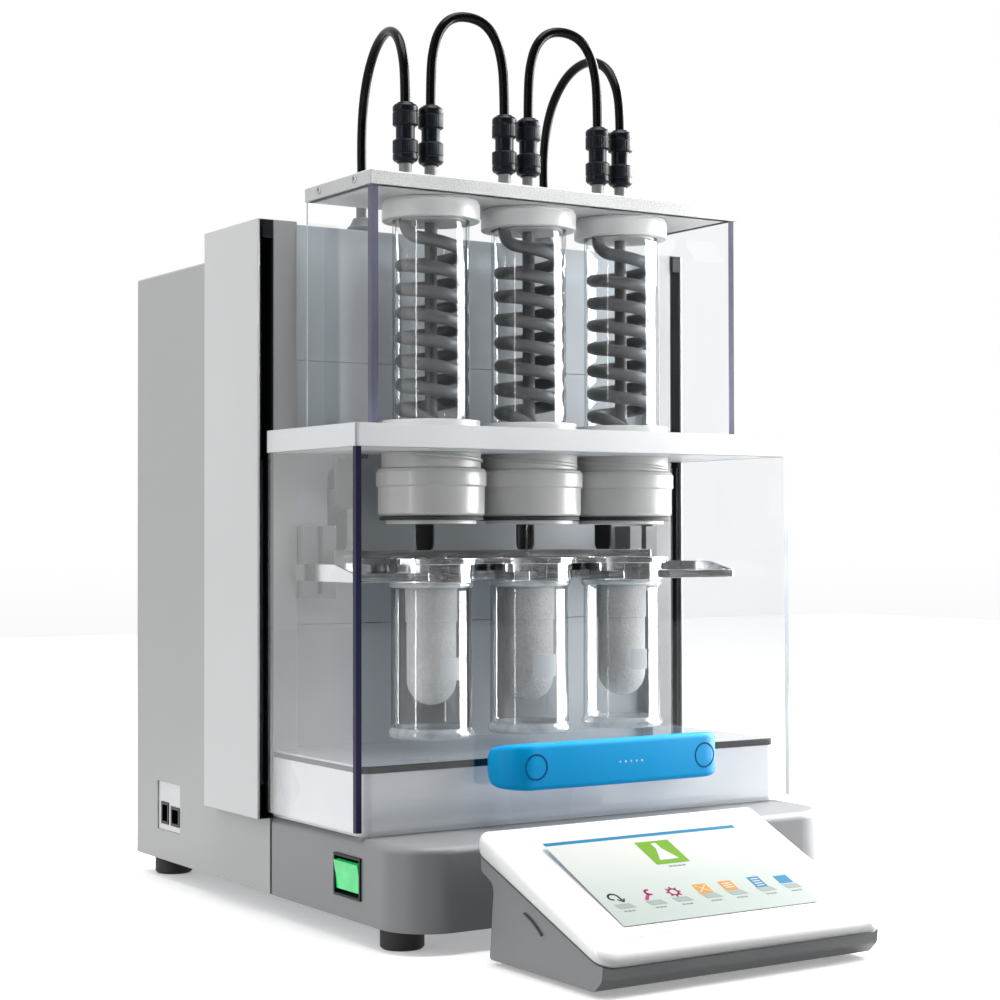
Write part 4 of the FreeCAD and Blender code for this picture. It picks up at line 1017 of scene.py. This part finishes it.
# %% Frosted patches on the cups
def curved_patch(x, radius, middle_angle, width, z0, z1, soft=2.6, steps=24):
    """A thin patch with round corners that lies on a round wall."""
    half = width / radius / 2
    corners = []
    for step in range(steps + 1):
        angle = middle_angle - half * math.cos(math.pi * step / steps)
        near = max(0.0, soft - width * min(step / steps, 1 - step / steps))
        cut = soft - math.sqrt(max(soft * soft - near * near, 0.0))
        for out, z in ((0.0, z0 + cut), (0.0, z1 - cut), (0.12, z1 - cut), (0.12, z0 + cut)):
            spot = radius + out
            corners.append(at(x + spot * math.cos(angle), AXIS_Y + spot * math.sin(angle), z))
    return corners, bands(steps + 1, 4, False, True)


spots = ((-91.0, 18.0, 163.4, 179.0), (-100.0, 18.7, 163.0, 179.0), (-98.5, 13.0, 165.3, 180.2))
patches = [curved_patch(x, 28.0, math.radians(angle), width, low, high)
           for x, (angle, width, low, high) in zip(CENTRES, spots)]
piece("frosted_patches", patches, PLASTICS["patch_grey"], "rack")
print("patches", len(patches))

# %% [markdown]
# ## Handle
# The handle is a moulded blue band that bows forward and runs back to the shield at both ends. Its section
# is a rounded rectangle, carried along a soft path seen from above. A shallow groove rings each end, and a
# thin darker blue ring laid on the face there is its painted shade. Five small light dots sit between them.

# %% Handle
def band(path, half_thick, low, high, soft, pinch, bend=4):
    """A rounded rectangle carried along a path seen from above. Pinch says how much it narrows at a place."""
    section = softened([(-half_thick + 100, low), (half_thick + 100, low), (half_thick + 100, high),
                        (-half_thick + 100, high)], soft, bend)
    section = [(across - 100, z) for across, z in section]
    corners = []
    for i, (x, y) in enumerate(path):
        ahead = Vector(path[min(i + 1, len(path) - 1)]) - Vector(path[max(i - 1, 0)])
        ahead.normalize()
        middle, shrink = (low + high) / 2, 1 - 2 * pinch(x, y) / (high - low)
        for across, z in section:
            corners.append(at(x + ahead.y * across, y - ahead.x * across, middle + (z - middle) * shrink))
    return corners, bands(len(path), len(section), False, True)


SHIELD_FRONT = -132.2
HANDLE_LOW, HANDLE_HIGH = 94.0, 125.0
HANDLE_MIDDLE = 8.0
MARK_Z = 109.7


def spaced(points, step):
    """The same line with extra points, so that none are further apart than the step."""
    made = [points[0]]
    for a, b in zip(points, points[1:]):
        count = max(1, math.ceil((Vector(b) - Vector(a)).length / step))
        made += [tuple(Vector(a).lerp(Vector(b), i / count)) for i in range(1, count + 1)]
    return made


def handle_path():
    half = [(83.5, SHIELD_FRONT), (87.6, -143.5), (78.0, -155.6), (36.0, -157.0)]
    plan = [(HANDLE_MIDDLE - x, y) for x, y in half] + [(HANDLE_MIDDLE + x, y) for x, y in reversed(half)]
    shifted = [(x + 500, y) for x, y in plan] + [(500, SHIELD_FRONT + 200)]
    soft = softened(shifted, 11.0, 8)
    return [(x - 500, y) for x, y in spaced(soft, 1.5) if y <= SHIELD_FRONT]


def handle_pinch(x, y):
    """The handle's ends are round, seen from the side, and a little lower at the bend."""
    past = max(0.0, abs(x - HANDLE_MIDDLE) - 70.0) / 19.0
    back = min(1.0, max(0.0, (y + 148.0) / 15.8))
    return 1.8 * past * past + 11.0 * (1 - math.sqrt(1 - back * back))


def handle_front(x):
    """The depth of the handle's outer face at a place along it."""
    path = handle_path()
    for (x0, y0), (x1, y1) in zip(path, path[1:]):
        if x0 <= x <= x1 and y0 < -150:
            return y0 + (y1 - y0) * (x - x0) / (x1 - x0) - 5.5
    return -162.0


def hoop(x, z, radius, thickness, slope, steps=48):
    """A thin flat ring on the handle's face. Slope tells how fast the face goes back along X."""
    corners = []
    y = handle_front(x) - 0.03
    outer = radius + thickness
    for step in range(steps):
        angle = 2 * math.pi * step / steps
        for spot, proud in ((radius, 0.0), (radius, 0.12), (outer, 0.12), (outer, 0.0)):
            dx = spot * math.cos(angle)
            corners.append(at(x + dx, y - proud + slope * dx, z + spot * math.sin(angle)))
    return corners, bands(steps, 4, True, False)


grip = band(handle_path(), 5.5, HANDLE_LOW, HANDLE_HIGH, 3.8, handle_pinch)
piece("grab_handle", [grip], PLASTICS["handle_blue"], "shield", ("handle_grip",), 40)
# Each end's dark blue ring is the painted shade of its shallow groove.
rings = [hoop(x, MARK_Z, 7.7, 1.1, slope) for x, slope in ((-62.0, -0.04), (79.0, 0.04))]
piece("handle_rings", rings, PLASTICS["handle_groove_shade"], "shield")
dot = pattern([swept([Vector((0, 0.00004, 0)), Vector((0, -0.00012, 0))], 0.0007, 14)])
first_dot = at(5.5, handle_front(15.0) - 0.02, MARK_Z - 0.3)
dots = copies_in_row(dot, 5, first_dot, (4.6, 0.0, 0.0), PLASTICS["dot_white"])
dress("handle_dots", dots, PLASTICS["dot_white"], "shield")
print("handle front at", round(handle_front(0.0), 2))

# %% [markdown]
# ## Black band round the hot plate
# A thin black strip runs round the deck's front under the glass. It stands a little proud of the white
# deck.

# %% Band of the hot plate
DECK_HALF, DECK_FRONT, DECK_CORNER = 174.2, -126.0, 8.0
BAND_LOW, BAND_TOP = 108.6, 113.4


def band_path():
    """The middle of the band, seen from above, from the rear left round the front to the rear right."""
    back, half, front = -4.0, DECK_HALF - 1.3, DECK_FRONT + 1.3
    plan = [(-half, back), (-half, front), (half, front), (half, back)]
    soft = softened([(x + 500, y) for x, y in plan], DECK_CORNER, 8)
    return [(x - 500, y) for x, y in soft if y < back - 2 * DECK_CORNER]


strip = band(band_path(), 1.6, BAND_LOW, BAND_TOP, 0.4, lambda x, y: 0.0)
piece("hot_plate_band", [strip], PLASTICS["band_black"], "cabinet")
print("band points", len(band_path()))

# %% [markdown]
# ## Screws
# The top board is held to the clear sides by two cross-head screws on each side. One head is the pattern,
# and a dark cross laid on it is the painted shade of its cross recess. The row tree copies both.

# %% Screws of the top board
def screw_head(side):
    """A low round head that faces along X, around its own origin."""
    steps = 32
    outline = [(0.0, 0.0), (2.7, 0.0), (2.7, 0.35), (2.2, 0.75), (0.0, 0.95)]
    corners = [Vector((side * out * MM, radius * math.cos(2 * math.pi * step / steps) * MM,
                       radius * math.sin(2 * math.pi * step / steps) * MM))
               for step in range(steps) for radius, out in outline]
    faces = []
    count = len(outline)
    for step in range(steps):
        a, b = step * count, (step + 1) % steps * count
        faces.extend((a + i, a + i + 1, b + i + 1, b + i) for i in range(count - 1))
    return [(corners, faces)]


def cross_recess_shade(side):
    """A dark cross on a screw's head, the painted shade of its cross recess."""
    return [own_origin(block(side * 0.75 - 0.22, side * 0.75 + 0.22, -wide, wide, -tall, tall))
            for wide, tall in ((1.5, 0.28), (0.28, 1.5))]


BOARD_SIDE, SCREW_Y, SCREW_Z, SCREW_PITCH = 155.5, -83.0, 502.0, 50.5
heads, marks = [], []
for side in (-1, 1):
    start, step = at(side * BOARD_SIDE, SCREW_Y, SCREW_Z), (0, SCREW_PITCH, 0)
    heads.append(as_lists(copies_in_row(pattern(screw_head(side)), 2, start, step, METALS["screw_steel"])))
    marks.append(as_lists(copies_in_row(pattern(cross_recess_shade(side)), 2, start, step, PLASTICS["mark_dark"])))
piece("board_screws", heads, METALS["screw_steel"], "head")
piece("board_screw_crosses", marks, PLASTICS["mark_dark"], "head")
print("screws", 2 * len(heads))

# %% [markdown]
# ## Touch pad
# The pad's top shell is a tilted tray with round corners and a soft edge all round. It is made as a stack
# of rounded outlines, each a little further in and a little higher, and closed by the flat top. A dark
# parting line runs round its foot. A short slot in its left side is not cut: a dark line laid on the side
# is the slot's painted shade.

# %% Top shell of the pad
PAD_LEFT, PAD_RIGHT, PAD_FRONT, PAD_REAR = -142.0, 74.0, -346.0, -208.5
PAD_CORNER = 12.0
PAD_NOSE, NOSE_TOP, NOSE_SEAM = -344.0, 26.6, 17.6
PAD_SLOPE, SEAM_SLOPE = 0.44, 0.375
TILT = math.atan(PAD_SLOPE)


def pad_top(y):
    """The height of the top shell's face at a depth."""
    return NOSE_TOP + PAD_SLOPE * (y - PAD_NOSE)


def pad_seam(y):
    """The height of the top shell's lower edge at a depth."""
    return NOSE_SEAM + SEAM_SLOPE * (y - PAD_NOSE)


def pad_outline(inset, corner, steps=10):
    """A rectangle with round corners, seen from above."""
    x0, x1 = PAD_LEFT + inset, PAD_RIGHT - inset
    y0, y1 = PAD_FRONT + inset, PAD_REAR - inset
    r = max(corner - inset, 1.0)
    made = []
    for cx, cy, first in ((x1 - r, y0 + r, -90), (x1 - r, y1 - r, 0), (x0 + r, y1 - r, 90),
                          (x0 + r, y0 + r, 180)):
        for step in range(steps + 1):
            angle = math.radians(first + 90 * step / steps)
            made.append((cx + r * math.cos(angle), cy + r * math.sin(angle)))
    return made


def pad_shell():
    """Rounded outlines one above the other. The rear edge drops in a curve."""
    layers = []
    soft = 5.5
    levels = [(2.2, 0.0, 0), (0.9, 0.8, 0), (0.0, 2.4, 0)]
    for step in range(7):
        angle = math.radians(15 * step)
        levels.append((soft * (1 - math.cos(angle)), -soft * (1 - math.sin(angle)), 1))
    for inset, rise, from_top in levels:
        ring = []
        for x, y in pad_outline(inset, PAD_CORNER):
            low, high = pad_seam(y), pad_top(y)
            rear_drop = max(0.0, (y + 226.0) / 17.0) ** 2 * 9.0
            z = high - rear_drop + rise if from_top else low + rise
            ring.append(at(x, y, max(z, low + 0.5 * rise) if from_top else z))
        layers.append(ring)
    corners = [corner for ring in layers for corner in ring]
    return corners, bands(len(layers), len(layers[0]), False, True)


piece("pad_shell", [pad_shell()], PLASTICS["pad_white"], "cabinet", ("pad_top_shell",), 50)
SLOT_REAR, SLOT_TOP = -263.8, 37.9
parting = [at(x, y, pad_seam(y)) for x, y in pad_outline(1.5, PAD_CORNER)]
piece("pad_parting_line", [swept(parting + parting[:1], 0.7 * MM, 8)], PLASTICS["mark_dark"], "cabinet")


def slot_height(y):
    """The pad's side slot falls to the front and bows up a little in its middle."""
    back = y - SLOT_REAR
    return SLOT_TOP + back * 0.55 - 1.1 * (back / 9.2 + 1) ** 2


# The slot's dark line is painted shade, laid on the side.
slot_shade_line = [at(PAD_LEFT + 2.15, y, slot_height(y)) for y in range(-282, -262)]
piece("pad_side_slot", [swept(slot_shade_line, 0.7 * MM, 8)], PLASTICS["mark_dark"], "cabinet")
print("pad tilt", round(math.degrees(TILT), 1), "degrees")

# %% [markdown]
# ## Picture on the display
# The display shows one large button with a flask, a row of seven small signs and a bar at the top. Each is
# a flat shape laid on the pane. A helper takes a place on the pane, measured across and down from the top,
# to the scene. Two fine lines on the shell run past the display.

# %% Display
SCREEN_TOP_Y = -238.0


def on_pane(u, v, lift):
    y = SCREEN_TOP_Y + v * math.cos(TILT) - lift * math.sin(TILT)
    z = pad_top(SCREEN_TOP_Y) + v * math.sin(TILT) + lift * math.cos(TILT)
    return at(u, y, z)


def slab(points, lift, thick=0.05):
    """A flat shape on the pane, with a little thickness."""
    count = len(points)
    corners = [on_pane(u, v, lift) for u, v in points] + [on_pane(u, v, lift + thick) for u, v in points]
    faces = [tuple(reversed(range(count))), tuple(range(count, 2 * count))]
    for i in range(count):
        j = (i + 1) % count
        faces.append((i, j, count + j, count + i))
    return corners, faces


def tile(u0, u1, v0, v1, lift=0.12, thick=0.05):
    return slab([(u0, v0), (u1, v0), (u1, v1), (u0, v1)], lift, thick)


def stroke(points, width, lift=0.14):
    """A line of even width through points on the pane, as one slab for each run."""
    made = []
    for (u0, v0), (u1, v1) in zip(points, points[1:]):
        run = Vector((u1 - u0, v1 - v0))
        side = Vector((-run.y, run.x)).normalized() * width / 2
        ahead = run.normalized() * width * 0.2
        a, b = Vector((u0, v0)) - ahead, Vector((u1, v1)) + ahead
        made.append(slab([tuple(a - side), tuple(b - side), tuple(b + side), tuple(a + side)], lift))
    return made


def arc(u, v, radius, first, last, steps=14):
    angles = [math.radians(first + (last - first) * i / steps) for i in range(steps + 1)]
    return [(u + radius * math.cos(angle), v + radius * math.sin(angle)) for angle in angles]


def gear(u, v):
    """A ring with eight teeth. The teeth are copies round an axis, brought into the pane."""
    tooth = pattern([([Vector((a * MM, b * MM, 0)) for a, b in
                       ((-1.0, -0.9), (1.1, -0.65), (1.1, 0.65), (-1.0, 0.9))], [(0, 1, 2, 3)])])
    teeth = as_lists(copies_round(tooth, 8, 4.3, (0, 0, 0), PLASTICS["ui_magenta"]))
    made = []
    for face in teeth[1]:
        made.append(slab([(u + teeth[0][i].x / MM, v + teeth[0][i].y / MM) for i in face], 0.14))
    made += stroke(arc(u, v, 3.2, 0, 360, 24), 1.3)
    return made


pane_x0, pane_x1, pane_length = -110.0, 40.0, 93.4
piece("display_pane", [tile(pane_x0, pane_x1, 0.0, -pane_length, 0.02, 0.06)], PANE, "cabinet",
      ("pad_screen",))
sign_places = (-97.5, -74.3, -54.4, -32.1, -12.1, 11.0, 31.9)
label_places = (-96.0, -72.8, -52.9, -30.6, -10.6, 12.5, 33.0)
signs = {
    "ui_blue": [tile(pane_x0, pane_x1, -1.0, -4.2), tile(6.6, 15.6, -60.0, -71.5),
                tile(26.6, 37.0, -62.0, -70.5)],
    "ui_green": [tile(-46.0, -20.0, -10.0, -36.0)],
    "ui_orange": [tile(-37.3, -27.0, -61.0, -71.0), tile(-17.2, -7.2, -61.0, -71.0)],
    "ui_magenta": stroke([(-77.6, -70.3), (-72.6, -64.6)], 2.2)
    + stroke(arc(-71.4, -63.2, 2.5, 70, 290, 10), 1.6) + gear(-54.4, -65.8),
    "ui_dark": stroke(arc(-98.2, -64.5, 3.6, 200, 20, 12) + [(-94.2, -69.2)], 1.4)
    + stroke([(-96.9, -67.0), (-94.2, -69.8), (-92.0, -66.6)], 1.1)
    + stroke([(-101.6, -65.7), (-99.6, -66.9)], 1.4),
    "ui_white": [slab([(-35.0, -12.5), (-31.0, -12.5), (-31.0, -19.0), (-25.5, -31.5), (-40.5, -31.5),
                       (-35.0, -19.0)], 0.18)]
    + stroke([(-36.0, -62.6), (-28.3, -69.4)], 0.7, 0.18)
    + stroke([(-36.0, -69.4), (-28.3, -62.6)], 0.7, 0.18)
    + [tile(-15.6, -8.8, -63.0 - 2.2 * i, -64.0 - 2.2 * i, 0.18) for i in range(3)]
    + [tile(8.2, 14.0, -62.0 - 2.4 * i, -62.9 - 2.4 * i, 0.18) for i in range(4)],
    "ui_shadow": [slab([(u - 5.5, -71.6), (u + 6.0, -71.6), (u + 8.5, -76.4), (u - 3.5, -76.4)], 0.11)
                  for u in sign_places],
    "ui_grey": [tile(u - 4.2 + 2.9 * i, u - 1.9 + 2.9 * i, -78.6, -79.9)
                for u in label_places for i in range(3)]
    + [tile(-39.0 + 3.4 * i, -36.2 + 3.4 * i, -38.4, -39.8) for i in range(4)],
}
for name, shapes in signs.items():
    piece("sign_" + name, shapes, PLASTICS[name], "cabinet")
fine_lines = stroke([(-128.0, -104.5), (60.0, -104.5)], 0.35, 0.02)
fine_lines += stroke([(60.0, -104.5), (60.0, 6.0)], 0.3, 0.02)
piece("pad_fine_lines", fine_lines, PLASTICS["line_blue"], "cabinet")
print("signs", sum(len(shapes) for shapes in signs.values()))

# %% [markdown]
# ## Finishes of the CAD solids
# The folded sheets, plates and blocks already have the right shape. Each gets the finish of its real piece.

# %% Finishes by node
def hob_face():
    look = Look("hob_face")
    speck = look.noise(900.0, 2.0)
    cloud = look.noise(12.0, 2.0)
    tone = (speck * 0.5 + cloud * 0.5).smooth(0.3, 0.7).colours((0.42, 0.47, 0.51, 1), (0.52, 0.57, 0.61, 1))
    return look.finish(look.principled(tone, 0.14, coat=0.8, coat_roughness=0.04))


def board_face():
    look = Look("board_face")
    speck = look.noise(1100.0, 3.0)
    cloud = look.noise(14.0, 2.0)
    mixed = (speck * 0.7 + cloud * 0.3).smooth(0.38, 0.62)
    tone = mixed.colours((0.46, 0.47, 0.47, 1), (0.71, 0.72, 0.72, 1))
    skin = look.bump(speck, 0.00005, 0.4, look.soft_edges(0.0008))
    return look.finish(look.principled(tone, 0.42, skin))


def rocker_face():
    look = Look("rocker_face")
    cloud = look.noise(80.0, 2.0)
    tone = cloud.smooth(0.3, 0.7).colours((0.0, 0.50, 0.10, 1), (0.02, 0.68, 0.18, 1))
    return look.finish(look.principled(tone, 0.22, coat=0.5, emission=(0.02, 0.75, 0.2, 1), strength=0.35))


NODE_LOOKS = {
    PAINTS["cabinet_grey"]: ("cabinet_shell", "cabinet_back"),
    PAINTS["pillar_grey"]: ("pillars",),
    PAINTS["cover_white"]: ("left_side_cover", "right_side_cover"),
    PAINTS["wall_grey"]: ("wall_top_panel", "wall_slot_panel", "wall_bottom_panel"),
    PAINTS["base_grey"]: ("base_housing",),
    PAINTS["deck_white"]: ("deck_housing",),
    PAINTS["frame_white"]: ("shield_frame", "head_floor"),
    PAINTS["motor_dark"]: ("lift_motor",),
    METALS["polished_steel"]: ("cup_rack",),
    METALS["plain_steel"]: ("chassis_plate", "heater_blocks", "water_ports"),
    PLASTICS["black_plastic"]: ("slot_liners", "switch_bezel", "port_sockets", "mains_inlet", "shield_shoes"),
    PLASTICS["band_black"]: ("plate_frame",),
    PLASTICS["rail_grey"]: ("rack_rails", "lift_carriage"),
    METALS["dark_steel"]: ("guide_rods", "lift_screw"),
    PLASTICS["rubber_black"]: ("feet", "gaskets"),
    PLASTICS["seal_white"]: ("seal_discs",),
    PLASTICS["port_white"]: ("port_plate",),
    PLASTICS["pad_grey"]: ("pad_base",),
    CLEAR["shield_front"]: ("shield_front_panel",),
    CLEAR["shield_left"]: ("shield_left_panel",),
    CLEAR["shield_right"]: ("shield_right_panel",),
    CLEAR["head_front"]: ("head_front_panel",),
    CLEAR["head_side"]: ("head_side_panels",),
    hob_face(): ("hot_plate",),
    board_face(): ("top_board",),
    rocker_face(): ("switch_rocker",),
}
painted = 0
for material, names in NODE_LOOKS.items():
    for name in names:
        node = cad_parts[name]
        node.data.materials.clear()
        node.data.materials.append(material)
        painted += 1
print("nodes with a finish", painted)

# %% [markdown]
# ## Floor and light
# The photograph was taken in a bright white surround that is dark only behind the camera, so faces turned
# to the camera are darker than faces turned to the left. The surround's strength follows the direction. The
# floor is seen by the camera and in mirrors only. Matt faces get the surround's light from below in its
# place, at half strength. Two tall lights that only shine in mirrors draw the long bright lines on the
# glass. Two square ones, on the right and above, light the whole object. A small one near the right side
# and a narrow one high in front brighten the faces near them.

# %% Floor and light
floor_mesh = bpy.data.meshes.new("studio_floor")
floor_mesh.from_pydata([(-4, -4, 0), (4, -4, 0), (4, 4, 0), (-4, 4, 0)], [], [(0, 1, 2, 3)])
floor = bpy.data.objects.new("studio_floor", floor_mesh)
scene.collection.objects.link(floor)
floor_look = Look("studio_floor")
floor_paint = floor_look.principled((0.93, 0.93, 0.935, 1), 0.6, emission=(1, 1, 1, 1), strength=0.25)
floor_mesh.materials.append(floor_look.finish(floor_paint))
floor.visible_diffuse = False

scene.world = bpy.data.worlds.new("studio")
sky = Look("studio", scene.world)
way_x, way_y, way_z = sky.axes(sky.node("ShaderNodeTexCoord", output="Generated"))
from_the_front = way_y.smooth(-0.70, 0.18, 0.08, 1.0)
from_the_left = way_x.smooth(-0.95, -0.25, 1.6, 1.0)
from_below = way_z.smooth(-0.25, 0.0, 0.5, 1.0)
strength = from_the_front * from_the_left * from_below
white = sky.node("ShaderNodeBackground", None, {"Color": (1.0, 1.0, 1.0, 1.0), "Strength": strength})
sky.finish(white, "ShaderNodeOutputWorld")


def area_light(name, place, target, size, power):
    lamp = bpy.data.lights.new(name, "AREA")
    lamp.shape = "RECTANGLE"
    lamp.size, lamp.size_y = size
    lamp.energy = power
    made = bpy.data.objects.new(name, lamp)
    scene.collection.objects.link(made)
    made.location = place
    made.rotation_euler = (Vector(target) - Vector(place)).to_track_quat("-Z", "Y").to_euler()
    return made


tall = area_light("right_panel_light", (1.42, -0.36, 0.62), (0, -0.05, 0.35), (1.35, 1.5), 130.0)
tall.visible_diffuse = False
strip = area_light("left_strip_light", (-1.35, -0.34, 0.5), (-0.05, -0.05, 0.38), (0.07, 1.3), 6.0)
strip.visible_diffuse = False
area_light("side_light", (1.9, 0.5, 1.2), (0, 0, 0.25), (1.0, 1.0), 45.0)
area_light("top_light", (0.1, -0.28, 2.2), (0, -0.12, 0.2), (1.3, 1.3), 46.0)
near = area_light("near_right_light", (0.44, -0.37, 0.30), (0.0, -0.02, 0.28), (0.22, 0.55), 2.2)
near.visible_camera = near.visible_glossy = False
high = area_light("high_front_light", (0.12, -1.60, 0.64), (0.05, 0.0, 0.57), (0.7, 0.24), 0.42)
high.visible_glossy = False
high.data.spread = math.radians(26)
scene.view_settings.view_transform = "Standard"
scene.view_settings.look = "None"
print("lights ready")
